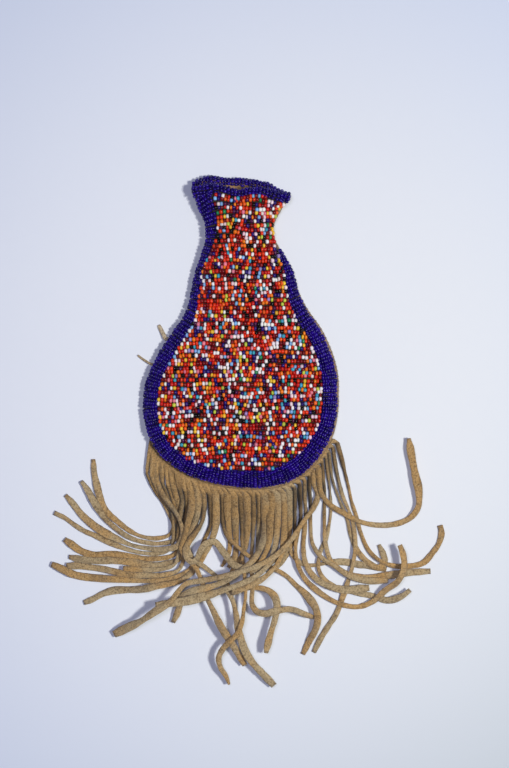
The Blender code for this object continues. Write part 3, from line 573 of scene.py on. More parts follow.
def pucker(x, y):
    """Small waves along the sewn edge, gone within a few millimetres, and a faint swell inside."""
    angle = np.arctan2(y - BELLY_Y, x)
    run = np.where(y < HIP_Y, angle * BELLY_HALF, y)
    near = np.exp(-inset(x, y) / PUCKER_REACH)
    swell = SWELL * np.sin(x * 0.31 + y * 0.17)
    return PUCKER * near * np.sin(2 * np.pi * run / PUCKER_PITCH) + swell * (1 - near)


def at_bottom(y):
    """0 beside the belly and 1 along the bottom of the bag."""
    return ease(BELLY_Y - y, 7, 25)


def turned_out(x, y):
    """How far the front panel's bottom edge is turned out past the seam, as a thin ridge."""
    reach = RIDGE * at_bottom(y) * np.exp(-inset(x, y) / RIDGE_REACH)
    return reach * (x / BELLY_HALF), reach * (np.minimum(y - BELLY_Y, 0) / (BELLY_Y - BOTTOM_Y))


print("panel grid:", panel_grid(FRONT_LIP)[0].shape, "points")

# %% Panels
CUT_ROUND, CUT_ROUND_REACH, CUT_DARK_REACH, LIP_CUT = 0.3, 0.35, 0.5, 0.6
BARE_RIGHT, BARE_BOTTOM, COVER_FROM, COVER_TO = 1.2, 0.5, 0.2, 0.9
BACK_WAVE, FRONT_WAVE = (0.5, 0.8), (0.8, 0.8)


def make_panel(name, node, lip, face_under, face_over, lift, beaded=False):
    """One panel. lift is how much of the waves its under and its over face take.

    The points below beads get painted shade, because beads shut out the light.
    """
    x, y, lip_y = panel_grid(lip)
    faces, wave, away = layers(x, y), pucker(x, y), inset(x, y)
    rounded = CUT_ROUND * np.exp(-away / CUT_ROUND_REACH)
    over = faces[face_over] + wave * lift[1] - rounded
    under = np.maximum(faces[face_under] + wave * lift[0], 0.0) + rounded * 0.6
    margin = np.exp(-away / CUT_DARK_REACH)
    # Painted shade: the hide under the beads is marked to be painted dark.
    covered = np.zeros_like(x)
    if beaded:
        bare = BARE_RIGHT * ease(x, 10, 40) + BARE_BOTTOM * at_bottom(y)
        covered = ease(away, COVER_FROM + bare, COVER_TO + bare)
        margin = margin * (1 - 0.65 * at_bottom(y))
        out_x, out_y = turned_out(x, y)
        x, lip_y = x + out_x, lip_y + out_y
    rings = np.concatenate([np.stack([x, lip_y, over], -1), np.stack([x, lip_y, under], -1)[:, ::-1]], 1)
    rows, size = rings.shape[:2]
    bottom_end = [(b, a, d, c) for a, b, c, d in flat_end(0, size)]
    edge = np.maximum(margin, ease(y, MOUTH_Y - LIP_CUT, MOUTH_Y))
    cut = np.concatenate([edge, edge[:, ::-1]], 1)
    shade = np.concatenate([covered, np.zeros_like(covered)], 1)
    skin = [*ring_faces(rows, size).tolist(), *bottom_end, *flat_end((rows - 1) * size, size)]
    piece = make_piece(name, rings.reshape(-1, 3), skin, panel_hide,
                       cut_edge=cut.ravel(), shade=shade.ravel())
    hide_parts(node)
    return piece


back_hide = make_panel("back_hide", "back_panel", BACK_LIP, 0, 1, BACK_WAVE)
front_hide = make_panel("front_hide", "front_panel", FRONT_LIP, 2, 3, FRONT_WAVE, beaded=True)

# %% [markdown]
# ## Seed beads
#
# A bead is a ring turned from a short rounded profile, with its hole along the thread. All the
# beads of one piece are copies of this one shape in one mesh, each with its own length, width,
# tilt and colour, because a thousand objects would be slow and no two real beads are alike.
#
# Beads are strung, so they are laid along paths: `string_beads` fills a path with beads end to
# end, as a needle picks them up, and stretches their spacing a little so that the row is full.

# %% One bead
BEAD_PROFILE = np.array([(-0.70, 0.34), (-1.0, 0.50), (-0.80, 0.80), (-0.30, 1.0), (0.30, 1.0), (0.80, 0.80),
                         (1.0, 0.50), (0.70, 0.34)])
BEAD_SIDES = 10
BEAD_TILT, BEAD_SHIFT, WIDTH_VARIES = 0.06, 0.09, 0.07
NEARLY_UP = [0.13, 0.21, 0.97]


def unit_bead():
    """Points and faces of a bead with half length 1 along X and radius 1."""
    angle = np.arange(BEAD_SIDES) * 2 * np.pi / BEAD_SIDES
    along = np.repeat(BEAD_PROFILE[:, 0], BEAD_SIDES)
    out = np.repeat(BEAD_PROFILE[:, 1], BEAD_SIDES)
    turn = np.tile(angle, len(BEAD_PROFILE))
    points = np.stack([along, out * np.cos(turn), out * np.sin(turn)], 1)
    size = len(BEAD_PROFILE) * BEAD_SIDES
    a, i = np.meshgrid(np.arange(len(BEAD_PROFILE)), np.arange(BEAD_SIDES), indexing="ij")
    nxt = (i + 1) % BEAD_SIDES
    here, there = a * BEAD_SIDES, (a + 1) * BEAD_SIDES % size
    return points, np.stack([here + i, here + nxt, there + nxt, there + i], -1).reshape(-1, 4)


def bead_points(middle, axis, length, width, draw):
    """Every point of every bead. Each is tilted and shifted a little off its thread."""
    shape, faces = unit_bead()
    count = len(middle)
    axis = unit(unit(axis) + draw.normal(0, BEAD_TILT, (count, 3)))
    middle = middle + draw.normal(0, BEAD_SHIFT, (count, 3))
    side = unit(np.cross(np.tile(NEARLY_UP, (count, 1)), axis))
    up = np.cross(axis, side)
    half = np.stack([length, width, width], 1) / 2
    points = (middle[:, None] + axis[:, None] * (shape[None, :, :1] * half[:, None, :1])
              + side[:, None] * (shape[None, :, 1:2] * half[:, None, 1:2])
              + up[:, None] * (shape[None, :, 2:] * half[:, None, 1:2]))
    every = faces[None] + (np.arange(count) * len(shape))[:, None, None]
    return points.reshape(-1, 3), every.reshape(-1, 4)


print("one bead:", len(unit_bead()[0]), "points")


# %% Strings of beads
def string_beads(path, length, draw, vary):
    """Middles, directions and lengths of the beads that fill one path."""
    run = run_along(path)
    count = max(1, int(round(run[-1] / length)))
    share = draw.uniform(1 - vary, 1 + vary, count)
    ends = np.concatenate([[0], np.cumsum(share)]) / share.sum() * run[-1]
    at = (ends[1:] + ends[:-1]) / 2
    middle, ahead, behind = (read_path(path, run, at + step) for step in (0, 0.5, -0.5))
    return middle, ahead - behind, np.diff(ends)


def make_beads(name, paths, length, width, slot, colours, seed, full=0.93, vary=0.13):
    """Strings beads on every path. colours draws a colour for each, in one set for each piece.

    full is the share of its room on the thread that a bead fills, and vary how much that room varies.
    """
    draw = np.random.default_rng(seed)
    strung = [string_beads(path, length, draw, vary) for path in paths]
    middle, axis, lengths = (np.concatenate(part) for part in zip(*strung))
    widths = width * draw.normal(1, WIDTH_VARIES, len(middle))
    lengths = np.minimum(lengths * full, width)
    made = []
    for suffix, (tones, glass) in colours(len(middle), draw).items():
        chosen = ~np.isnan(tones[:, 0])
        count = int(chosen.sum())
        points, faces = bead_points(middle[chosen], axis[chosen], lengths[chosen], widths[chosen], draw)
        shown = np.repeat(np.column_stack([tones[chosen], np.ones(count)]), len(points) // count, 0)
        made.append(make_piece(name + suffix, points, faces.tolist(), glass, slot, bead_colour=shown))
        print("  beads:", count)
    return made


inch = np.array([(0, 0, 0), (25.4, 0, 0)])
print("beads 2 mm long on an inch of thread:", len(string_beads(inch, 2.0, np.random.default_rng(0), 0.1)[0]))

# %% [markdown]
# ### The colours of the field
#
# The maker strung the beads as they came out of the mix, so each bead draws its colour at random
# from a list with shares: reds and oranges lead, then whites, dark beads, yellow and blues. A
# seed keeps the draw the same every time. Each draw shifts a little, as glass batches do.

# %% Palette
OPAQUE_MIX = [((222, 54, 20), 0.15), ((232, 92, 30), 0.045), ((194, 28, 22), 0.14), ((126, 14, 20), 0.10),
              ((246, 238, 236), 0.15), ((240, 210, 214), 0.055), ((238, 120, 24), 0.06),
              ((238, 190, 52), 0.035), ((190, 200, 70), 0.012), ((126, 176, 224), 0.03),
              ((58, 156, 184), 0.025), ((226, 120, 140), 0.02), ((150, 130, 190), 0.012)]
CLEAR_MIX = [((112, 12, 20), 0.10), ((12, 6, 12), 0.075), ((40, 20, 104), 0.08), ((72, 20, 66), 0.04),
             ((40, 130, 80), 0.012)]
NAVY_MIX = [(28, 4, 110), (19, 2, 90), (36, 8, 128)]
BATCH_VARIES, HUE_VARIES, NAVY_VARIES = 0.10, 0.04, 0.16


def field_colours(count, draw):
    """Three sets of colours: two of opaque beads, which keeps each piece small, and one of clear ones.

    A bead that isn't in a set has nan there.
    """
    mix = OPAQUE_MIX + CLEAR_MIX
    share = np.array([s for _, s in mix])
    pick = draw.choice(len(mix), count, p=share / share.sum())
    base = np.array([tint(*rgb) for rgb, _ in mix])[pick]
    shift = draw.normal(1, BATCH_VARIES, (count, 1)), draw.normal(1, HUE_VARIES, (count, 3))
    tones = np.clip(base * shift[0] * shift[1], 0, 0.9)
    clear = pick >= len(OPAQUE_MIX)
    half = draw.random(count) < 0.5
    sets = {"_opaque_a": (~clear & half, opaque_glass), "_opaque_b": (~clear & ~half, opaque_glass),
            "_clear": (clear, clear_glass)}
    return {suffix: (np.where(chosen[:, None], tones, np.nan), glass)
            for suffix, (chosen, glass) in sets.items()}


def navy_colours(count, draw):
    base = np.array([tint(*rgb) for rgb in NAVY_MIX])[draw.integers(0, len(NAVY_MIX), count)]
    return {"": (np.clip(base * draw.normal(1, NAVY_VARIES, (count, 1)), 0, 1), navy_glass)}


print("colours in the mix:", len(OPAQUE_MIX) + len(CLEAR_MIX))

# %% [markdown]
# ### The field
#
# The rows are level, about 2.16 mm apart. A row is a path over the risen front face from side to
# side, just inside the band. It strays a little as hand work does, and most of its straying is
# shared with the rows beside it, because a crooked row pushes the next one. `BAND` says how far
# in from the edge the band begins and ends at some shares of the way round it.

# %% Field
FIELD_BEAD_LONG, FIELD_BEAD_WIDE, FIELD_VARIES = 1.72, 2.32, 0.2
FIELD_SEED, ROW_SEED = 7, 31
BEAD_CLEARANCE = 0.5
ROW_PITCH, TOP_ROW_DROP, LAST_ROW_OVER_BAND = 2.16, 0.2, 0.9
ROW_HEIGHT, LOW_ROW_REACH = BEAD_CLEARANCE + 0.62, 0.6
SHARED_STRAY, OWN_STRAY, ROW_RISE = (400, 8, 0.85), (700, 6, 0.26), (900, 8, 0.12)
BAND = [(0.026, 0.5, 8.3), (0.050, 0.5, 6.6), (0.080, 0.5, 4.2), (0.110, 0.5, 3.6), (0.145, 0.5, 4.6),
        (0.190, 0.5, 6.8), (0.250, 0.5, 7.6), (0.330, 0.5, 8.0), (0.400, 0.7, 8.2), (0.470, 1.0, 9.2),
        (0.530, 1.0, 9.8), (0.600, 1.0, 10.0), (0.660, 1.6, 9.6), (0.740, 2.2, 9.4), (0.800, 2.0, 9.0),
        (0.840, 1.4, 8.0), (0.870, 0.8, 5.6), (0.895, 0.6, 4.2), (0.915, 0.6, 2.4)]
FIELD_EDGE, BAND_GAP = 0.8, 0.1
FIELD_TOP_Y = MOUTH_Y - RIM_HEIGHT - 0.3
RIM_DIP, RIM_DIP_AT, RIM_DIP_WIDE = 2.1, 0.5, 15.0
TOP_ROW_HALF = 0.95 * RIM_DIP_WIDE


def band_edges(share):
    """How far in from the hide's edge the bead band begins and ends."""
    share_at, outer, inner = np.array(BAND).T
    return (smooth_curve(share, list(zip(share_at, outer))),
            smooth_curve(share, list(zip(share_at, inner))))


def field_rows():
    """One path of beads for each row of the field, from the top one down."""
    share = np.linspace(0, 1, 500)
    first, last = BAND[0][0], BAND[-1][0]
    inner = np.where(share > last + 0.01, FIELD_EDGE, band_edges(share)[1] + BAND_GAP)
    line = edge_point(share[share >= first], inner[share >= first])
    lowest = int(np.argmin(line[:, 1]))
    left, right = line[:lowest + 1], line[lowest:]
    bottom = float(left[-1, 1]) + LAST_ROW_OVER_BAND
    heights = np.linspace(FIELD_TOP_Y, bottom, round((FIELD_TOP_Y - bottom) / ROW_PITCH) + 1)
    draw = np.random.default_rng(ROW_SEED)
    rows = []
    for i, y in enumerate([FIELD_TOP_Y + ROW_PITCH - TOP_ROW_DROP, *heights]):
        reach = y + (LOW_ROW_REACH if y < BELLY_Y else 0)
        start = np.interp(-reach, -left[:, 1], left[:, 0]) + draw.uniform(-0.25, 0.35)
        end = np.interp(reach, right[:, 1], right[:, 0]) + draw.uniform(-0.35, 0.25)
        if y > FIELD_TOP_Y:
            start, end = RIM_DIP_AT - TOP_ROW_HALF, RIM_DIP_AT + TOP_ROW_HALF
        x = np.linspace(start, end, 60)
        above, below = (wander(x + 60, SHARED_STRAY, i // 3 + k) for k in (0, 1))
        stray = above + (below - above) * (i % 3) / 3 + wander(x - start, OWN_STRAY, i)
        rows.append(on_front(x, y + stray, ROW_HEIGHT + wander(x - start, ROW_RISE, i)))
    return rows


field_paths = field_rows()
field_beads = make_beads("field_beads", field_paths, FIELD_BEAD_LONG, FIELD_BEAD_WIDE, "field_glass",
                         field_colours, FIELD_SEED, vary=FIELD_VARIES)
for piece in field_beads:
    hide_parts("bead_field")

# %% [markdown]
# ### The band and the rims
#
# The band is lazy stitch: short rows of two to eight beads lie across it, side by side, and each
# row humps up a little between the stitches at its ends. Both lips are bound in the same way, with
# loops of beads that start on the outside, go over the cut edge and end inside the mouth. The
# bead on the fold stands on end, so its hole shows from above as a small ring.

# %% Band
BAND_BEAD_LONG, BAND_BEAD_WIDE, CLOSE_STRUNG = 1.42, 2.12, 0.88
BAND_ROW_PITCH, BAND_HUMP, BAND_HEIGHT = 1.96, 0.25, BEAD_CLEARANCE + 0.45
BAND_STEPS, BAND_STARTS_EARLY = 16, 0.012
BAND_SEED, BAND_ROW_SEED = 11, 47


def band_rows():
    """One path of beads for each short row, from the left of the mouth round to the right of the neck."""
    first, last = BAND[0][0], BAND[-1][0]
    count = round((last - first) * EDGE_RUN[-1] / BAND_ROW_PITCH)
    draw = np.random.default_rng(BAND_ROW_SEED)
    rows = []
    for share in np.linspace(first - BAND_STARTS_EARLY, last, count):
        outer, inner = (float(v[0]) for v in band_edges(np.array([share])))
        across = np.linspace(outer + draw.uniform(-0.35, 0.15), inner + draw.uniform(-0.2, 0.3), BAND_STEPS)
        flat = edge_point(np.full(BAND_STEPS, share) + draw.uniform(-0.0006, 0.0006), across)
        hump = BAND_HUMP * np.sin(np.linspace(0.12, 0.92, BAND_STEPS) * np.pi)
        rows.append(on_front(flat[:, 0], flat[:, 1], BAND_HEIGHT + hump))
    return rows


band_beads = make_beads("band_beads", band_rows(), BAND_BEAD_LONG, BAND_BEAD_WIDE, "border_glass",
                        navy_colours, BAND_SEED, CLOSE_STRUNG)
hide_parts("bead_border")

# %% Rims
RIM_BEAD_LONG, RIM_BEAD_WIDE, RIM_LOOP_PITCH, RIM_CROWDING = 1.55, 1.95, 2.05, 1.06
RIM_MARGIN, RIM_OUTSIDE, RIM_INSIDE = 0.4, RIM_HEIGHT - 0.7, {1: 2.4, -1: 1.5}
OUT_OVER_HIDE, IN_UNDER_HIDE = BEAD_CLEARANCE + 0.55, 0.65
FOLD_OVER_LIP, FOLD_MORE = 1.05, {1: 0.1, -1: 0.5}


def rim_loops(lip, outside, seed):
    """One path of beads over the lip for each loop. outside is 1 on the front lip and -1 on the back."""
    draw = np.random.default_rng(seed)
    hide, face = (FRONT_HIDE, 3) if outside > 0 else (BACK_HIDE, 0)
    half = MOUTH_HALF - RIM_MARGIN
    middle = float(smooth_curve(MOUTH_Y, LEAN))

    def leg(share, y, slant, off_face):
        """The part of a loop on one face of the lip."""
        x = middle + share * (half_width(y) - RIM_MARGIN)
        leant = x - slant * (MOUTH_Y - y) / RIM_HEIGHT
        return np.stack([leant, y + lip_shift(x, y, lip), layers(x, y)[face] + outside * off_face], 1)

    loops = []
    for x in np.linspace(middle - half, middle + half, round(2 * half / RIM_LOOP_PITCH * RIM_CROWDING) + 1):
        share = (x - middle) / half
        slant = draw.uniform(-0.5, 0.5) + 0.5
        dip = RIM_DIP * np.exp(-((x - RIM_DIP_AT) / RIM_DIP_WIDE) ** 6) if outside > 0 else 0
        outer_y = MOUTH_Y - np.linspace(RIM_OUTSIDE - dip + draw.uniform(-0.3, 0.3), 0.5, 5)
        inner_y = MOUTH_Y - np.linspace(0.5, RIM_INSIDE[outside] + draw.uniform(-0.3, 0.6), 3)
        outer = leg(share, outer_y, slant, OUT_OVER_HIDE)
        inner = leg(share, inner_y, 0, -(hide + IN_UNDER_HIDE))
        lip_y = MOUTH_Y + float(lip_shift(x, MOUTH_Y, lip)) + FOLD_OVER_LIP + FOLD_MORE[outside]
        top_x = outer[-1, 0] * 0.5 + inner[0, 0] * 0.5
        fold = [(top_x, lip_y + draw.uniform(-0.25, 0.35), outer[-1, 2] * near + inner[0, 2] * far)
                for near, far in ((0.8, 0.2), (0.5, 0.5), (0.2, 0.8))]
        loops.append(np.concatenate([outer, fold, inner]))
    return loops


RIMS = [("front_rim_beads", FRONT_LIP, 1, "front_rim", "front_rim_glass", 21),
        ("back_rim_beads", BACK_LIP, -1, "back_rim", "back_rim_glass", 22)]
for name, lip, outside, node, slot, seed in RIMS:
    rim = make_beads(name, rim_loops(lip, outside, seed), RIM_BEAD_LONG, RIM_BEAD_WIDE, slot, navy_colours,
                     seed, CLOSE_STRUNG)
    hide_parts(node)

# %% [markdown]
# ## The fringe
#
# One strip of hide is caught in the bottom seam. Below the seam a few millimetres stay whole, and
# more at its two ends. From there it is slit into thirty-six thongs, which lie tangled where they
# fell. A thong is swept along a route of given points, and `drape` lays them down in turn:
# each lies on the table or on those below it, and passes over them in a long low hump. Cloth
# simulation was not used, because thongs this narrow would slide off the routes that the
# photograph shows.
#
# `THONGS` gives each thong, from left to right along the seam, its turn in the laying and the
# points of its route. A third number at a point is the least height of the thong there.

# %% Routes
SLIT_LINE = [(-52.5, -41.5), (-47.5, -45.4), (-42.0, -48.2), (-36.5, -50.3), (-31.5, -51.8), (-26.0, -53.0),
             (-19.5, -53.5), (-12.0, -54.3), (-4.5, -54.7), (3.0, -54.8), (11.0, -54.7),
             (17.5, -54.2), (24.0, -52.8), (29.5, -50.2), (35.0, -46.2), (39.6, -42.2), (43.6, -37.9),
             (46.8, -33.6), (49.8, -28.9), (53.4, -24.6)]
THONGS = {
    "left_a": (1, [(-48.2, -50), (-43.4, -58), (-38.8, -65.5), (-36.4, -72), (-38.2, -76.8), (-44.5, -79),
                   (-52.5, -78.2), (-59.5, -75.2), (-66, -70.5), (-72, -64.8), (-75.6, -58), (-78, -49.5),
                   (-79.5, -42.5), (-80, -36)]),
    "left_b": (2, [(-45.2, -52), (-40.2, -60), (-35.8, -67), (-33.7, -73.5), (-35.6, -79.2),
                   (-43.5, -81.8), (-51.8, -81.3), (-59.3, -78.9), (-66.5, -74.3), (-72.8, -69),
                   (-77, -63), (-80.7, -56.7), (-83.5, -52), (-86.5, -48)]),
    "left_c": (8, [(-42.6, -53.6), (-37.2, -61.5), (-32.9, -68), (-31, -75), (-33.2, -81.7), (-42.5, -84.6),
                   (-51.5, -84.3), (-59.5, -82.4), (-68, -78.5), (-75.5, -74.7), (-81.5, -70.5),
                   (-86.5, -66), (-90.5, -60.5), (-95, -55.5)]),
    "left_d": (3, [(-39.9, -55.3), (-37.6, -62.5), (-36.4, -70), (-36.3, -78), (-38, -84.5), (-44, -87.3),
                   (-52, -87.2), (-60.5, -85.4), (-69, -82), (-76.5, -78.5), (-85, -75), (-90.5, -71.5),
                   (-96, -67.5), (-101, -65)]),
    "left_e": (4, [(-36.9, -56.8), (-34.8, -64), (-33.7, -72), (-33.5, -80.5), (-35.6, -87.3), (-43, -90),
                   (-51, -90), (-59.5, -88.6), (-69, -88), (-76.5, -88.3), (-83, -87.3), (-88, -85),
                   (-92, -82), (-95.5, -79.5)]),
    "left_f": (5, [(-34.3, -58), (-32.2, -65.5), (-31, -73), (-30.8, -82.5), (-33.2, -90), (-41.5, -92.8),
                   (-50, -93), (-59.5, -91.8), (-69, -91), (-78.5, -91.2), (-86.5, -90.3), (-93, -89)]),
    "left_i": (6, [(-31.5, -59.3), (-32.6, -67.5), (-33.5, -77), (-33.3, -86.5), (-36, -93.3), (-43, -95.6),
                   (-49, -96), (-56, -95.6), (-63.5, -95.4)]),
    "left_h": (7, [(-29, -60.4), (-29.9, -68.5), (-30.8, -78), (-30.6, -89), (-33.5, -96), (-41.5, -98.3),
                   (-50, -98.6), (-60.5, -98.2), (-72.5, -95.6), (-84, -94.2), (-94.5, -93.5)]),
    "low_n": (16, [(-26.2, -61.5), (-28, -69.5), (-30, -78), (-31.5, -84), (-27.5, -90), (-23, -96),
                   (-20.5, -102.5, 5), (-18, -110, 9), (-14.5, -117.5, 10.5), (-10.5, -125.5, 10),
                   (-6, -133, 8), (-1.5, -140.5, 5), (2.5, -147.5, 2)]),
    "low_o": (15, [(-22.9, -62), (-24.3, -69.5), (-27, -76.5), (-28.5, -83), (-26, -89), (-19.5, -94),
                   (-13, -99.5), (-7.5, -105.5, 4), (-4, -112, 8), (-2, -119.5, 9.5), (-1, -127.5, 9.5),
                   (1.5, -136, 8.5), (6, -144.5, 7), (12, -151.5, 5), (18.5, -158.5, 3)]),
    "loop_s": (30, [(-19.5, -62.5), (-21, -70), (-24.5, -76), (-28, -81), (-29.6, -85.8), (-28.6, -89.2),
                    (-25.8, -91), (-23, -89.2), (-21.4, -85.6), (-18.8, -81.8), (-14.5, -80.5), (-9, -86),
                    (-4, -92), (4, -95), (12, -93.5), (19.5, -89), (26.5, -83.5)]),
    "left_g": (9, [(-16, -63.5), (-16.5, -72), (-19.5, -80), (-23, -88.5), (-28.5, -97), (-38, -101.2),
                   (-48.5, -101.6), (-59.5, -101), (-67.5, -100.7), (-75.5, -100.5), (-83.5, -100),
                   (-90.5, -98.5), (-97, -95.5), (-102.5, -93)]),
    "left_j": (10, [(-13, -64.5), (-13.5, -73), (-16.5, -82), (-21, -90.5), (-26.5, -97.5), (-33, -102),
                    (-40.5, -103.5), (-47.5, -105), (-54, -106.5), (-62, -107), (-69, -107.5),
                    (-75.5, -109.5), (-80, -112), (-85, -114)]),
    "low_t": (28, [(-9.5, -63), (-9.5, -70.5), (-6.5, -78.5), (-1, -83.5), (5.5, -88.5), (12.5, -92.5),
                   (19, -95.5), (25, -99.5), (31, -105), (36.5, -110.5), (41, -117), (42, -123),
                   (40.5, -129), (37.5, -135), (34, -142)]),
    "mid_a": (11, [(-6.5, -64.5), (-6, -72), (-5.5, -80), (-6.5, -88), (-10, -94.5)]),
    "mid_b": (12, [(-3, -64.5), (-2.5, -72.5), (-2.3, -81), (-3, -89), (-6.5, -95)]),
    "low_q": (17, [(0.5, -64.5), (0.8, -73), (1, -81.5), (1.5, -90), (2.5, -99), (3, -108, 6), (2, -116, 9),
                   (1, -123.5, 11), (-1.5, -129.5, 12), (-5.5, -133.5, 11), (-9, -137.5, 9),
                   (-11.5, -143.5, 8), (-10.5, -148.5, 6), (-7.5, -153.5, 4), (-6, -158, 2)]),
    "low_s": (13, [(4, -64.5), (4, -73), (3, -82), (0, -90.5), (-4.5, -97.5), (-7.5, -103),
                   (-4.5, -106.5, 2), (2.5, -105.5, 6), (9.5, -105, 9), (15, -106.5, 9.5),
                   (19, -110.5, 9.5), (20, -115.5, 9), (19, -121.5, 9), (16.5, -130, 8),
                   (14, -140.5, 7)]),
    "low_r": (14, [(7.3, -64.5), (7.2, -73), (6.5, -82), (6, -90.5), (6.5, -99), (6.6, -106, 2),
                   (6.4, -110.5, 3), (6.6, -114.5, 3), (9, -118, 3), (13.2, -118.9, 3), (19.5, -117.4, 4),
                   (27, -116.5, 4), (35, -119.5, 2), (40, -121.5)]),
    "sweep_a": (18, [(10.5, -64.5), (10.3, -73), (9.6, -82), (9.2, -91), (9.6, -98)]),
    "sweep_curl": (32, [(13.7, -64.5), (13.4, -73), (12, -81), (8, -88.5), (1, -95), (-7.5, -101.2),
                        (-19, -105.2), (-27.5, -108), (-32, -111, 3), (-33, -116, 3), (-34.5, -120.5, 2),
                        (-36.5, -124.5)]),
    "sweep_b": (31, [(17, -64), (16.6, -73), (15.2, -82), (11.5, -90), (5, -96.5)]),
    "sweep_l": (34, [(20.5, -63), (20.2, -73), (18.8, -83), (15.5, -92), (8.5, -98.5), (-1, -103),
                     (-11, -106.8), (-20.5, -109.8, 6), (-29.5, -112, 10), (-38, -113, 12),
                     (-45.5, -114, 13)]),
    "sweep_c": (33, [(24, -62), (24, -72), (23.4, -82), (20.5, -91.5), (13.5, -99), (4.5, -104),
                     (-4.5, -107.3)]),
    "right_d": (20, [(26.6, -61), (26.8, -70.5), (26.5, -80.5), (28.5, -88), (34, -93), (41, -93.5),
                     (48.5, -92), (56.5, -92), (65, -93.5), (73, -94.5), (79.5, -96)]),
    "sweep_d": (19, [(29.7, -59.5), (29.8, -68.5), (29.3, -77.5), (26.5, -86), (21.5, -93), (15, -98)]),
    "right_a": (29, [(32.5, -58), (32.8, -66.5), (31.6, -75), (30, -83.5), (31, -91.5), (34, -99),
                     (39.5, -105.5), (47, -111), (56, -115), (65, -116), (72, -113), (79, -106.5, 3),
                     (85.5, -101, 8), (88.5, -94.5, 10), (88, -87.5, 10), (86, -82, 10)]),
    "right_b": (26, [(35.2, -56), (35.6, -65.5), (35, -74), (34.5, -83.5), (35.5, -92), (39.5, -99),
                     (46, -104), (54, -106.5), (62, -106.5), (70, -105.5)]),
    "right_c": (27, [(37.6, -53.5), (38.2, -63), (38.2, -73), (39.5, -82.5), (44, -89), (51.5, -94),
                     (59.5, -99), (68.5, -101.5), (80, -102)]),
    "sweep_y": (35, [(40, -49.5), (42, -55.4), (40.2, -61.5), (35, -68.5), (29, -77.5), (21.5, -85.5),
                     (12, -91.5), (0, -96), (-12, -99.3), (-22, -101.5), (-29.5, -103), (-34, -107.5),
                     (-38, -112.5), (-44.5, -116.5), (-53.5, -123), (-61, -127), (-68.5, -131)]),
    "right_w": (36, [(43, -47.5), (44.2, -54.5), (48.8, -60.6), (57.5, -65.8), (66, -70), (75.5, -72),
                     (85.5, -71), (92.5, -68), (96.5, -62, 2), (97, -53.5, 4), (95, -44.5, 4),
                     (93, -34.5, 4), (91.5, -24.5, 3)]),
    "right_e": (25, [(45.1, -45.5), (46, -54.5), (45.8, -63.5), (45.8, -73), (46.5, -82), (49, -90.5),
                     (57, -97), (68, -100), (81, -99), (92.5, -97.5), (103.5, -97)]),
    "right_f": (24, [(47.5, -43), (48.8, -52), (49.4, -61), (48.8, -69.5), (46.5, -79.5), (43, -88),
                     (42.5, -95.5), (46, -101.5), (52.5, -105.5), (61.5, -108), (72, -110.5),
                     (81, -112.5), (87, -110.5, 3), (92, -106.5, 5)]),
    "right_g": (21, [(49, -40), (50.4, -48.5), (54, -58), (58.2, -68.5), (60.5, -78.5), (64.5, -87),
                     (71, -93), (75.6, -94.8), (78.6, -91.6), (77.6, -87), (75.5, -82.5)]),
    "right_x": (22, [(51.4, -37), (53.2, -46.5), (55.6, -55.5), (59.4, -64.5), (62, -74), (62.5, -83.5),
                     (61, -93.5), (58.5, -103), (55, -113), (52, -120.5), (47.5, -127.5), (43.5, -134),
                     (40, -141)]),
    "right_v": (23, [(54.4, -33), (56.8, -42), (58.8, -50.5), (60.6, -59), (63.2, -67.5), (66, -77),
                     (70, -85.5), (77, -91.5), (85, -94), (93, -94), (100, -92), (104.5, -87),
                     (108.5, -81), (109.5, -76), (108.5, -72)]),
}
print("route points chosen by hand:", sum(len(points) for _, points in THONGS.values()))


# %% Slits and widths
THONG_WIDTH, THONG_TAPER, THONG_FULL_AT = 2.55, 7.0, 35.0
THONG_END_WIDTH, THONG_END, THONG_UNROLLS = 3.6, 50.0, 20.0


def smooth_route(points, spacing, turn=180.0):
    """A smooth curve through given points, read at most a spacing and a turn apart."""
    points = np.array([tuple(p) + (0,) * (3 - len(p)) for p in points], float)
    run = run_along(points[:, :2])
    curve = smooth_path(points, run, np.linspace(0, run[-1], int(run[-1] * 4)))
    step = np.diff(curve[:, :2], axis=0)
    heading = np.degrees(np.unwrap(np.arctan2(step[:, 1], step[:, 0])))
    bend = np.abs(np.diff(heading, prepend=heading[0]))
    cost = np.concatenate([[0], np.cumsum(np.linalg.norm(step, axis=1) / spacing + bend / turn)])
    return read_path(curve, cost, np.linspace(0, cost[-1], int(np.ceil(cost[-1])) + 1))


def slit_points():
    """The ends of the slits: the corners between one thong and the next."""
    line = np.array(SLIT_LINE)
    run = run_along(line)
    return smooth_path(line, run, np.linspace(0, run[-1], len(THONGS) + 1))


def thong_width(run, root_width):
    """Narrow in the tangle, where a thong lies crowded, and as wide as it was cut near its end."""
    crowded = root_width + (THONG_WIDTH - root_width) * ease(run, 2 * THONG_TAPER, THONG_FULL_AT)
    unrolls = max(run[-1] - THONG_END, THONG_END)
    return crowded + (THONG_END_WIDTH - crowded) * ease(run, unrolls, unrolls + THONG_UNROLLS)


slits = slit_points()
roots = (slits[1:] + slits[:-1]) / 2
print("slits:", len(slits) - 2, "and the two sides of the strip")

# %% Laying the thongs
SLIT_HEIGHT, ROOT_FILL, NARROWEST = 1.3, 0.72, 1.3
STACK_GAP, SIDE_GAP = 0.3, 0.15
RING_SPACING, RING_TURN = 7.0, 30.0
DRAPE_HOLD, DRAPE_SLOPE = 4.0, 0.55


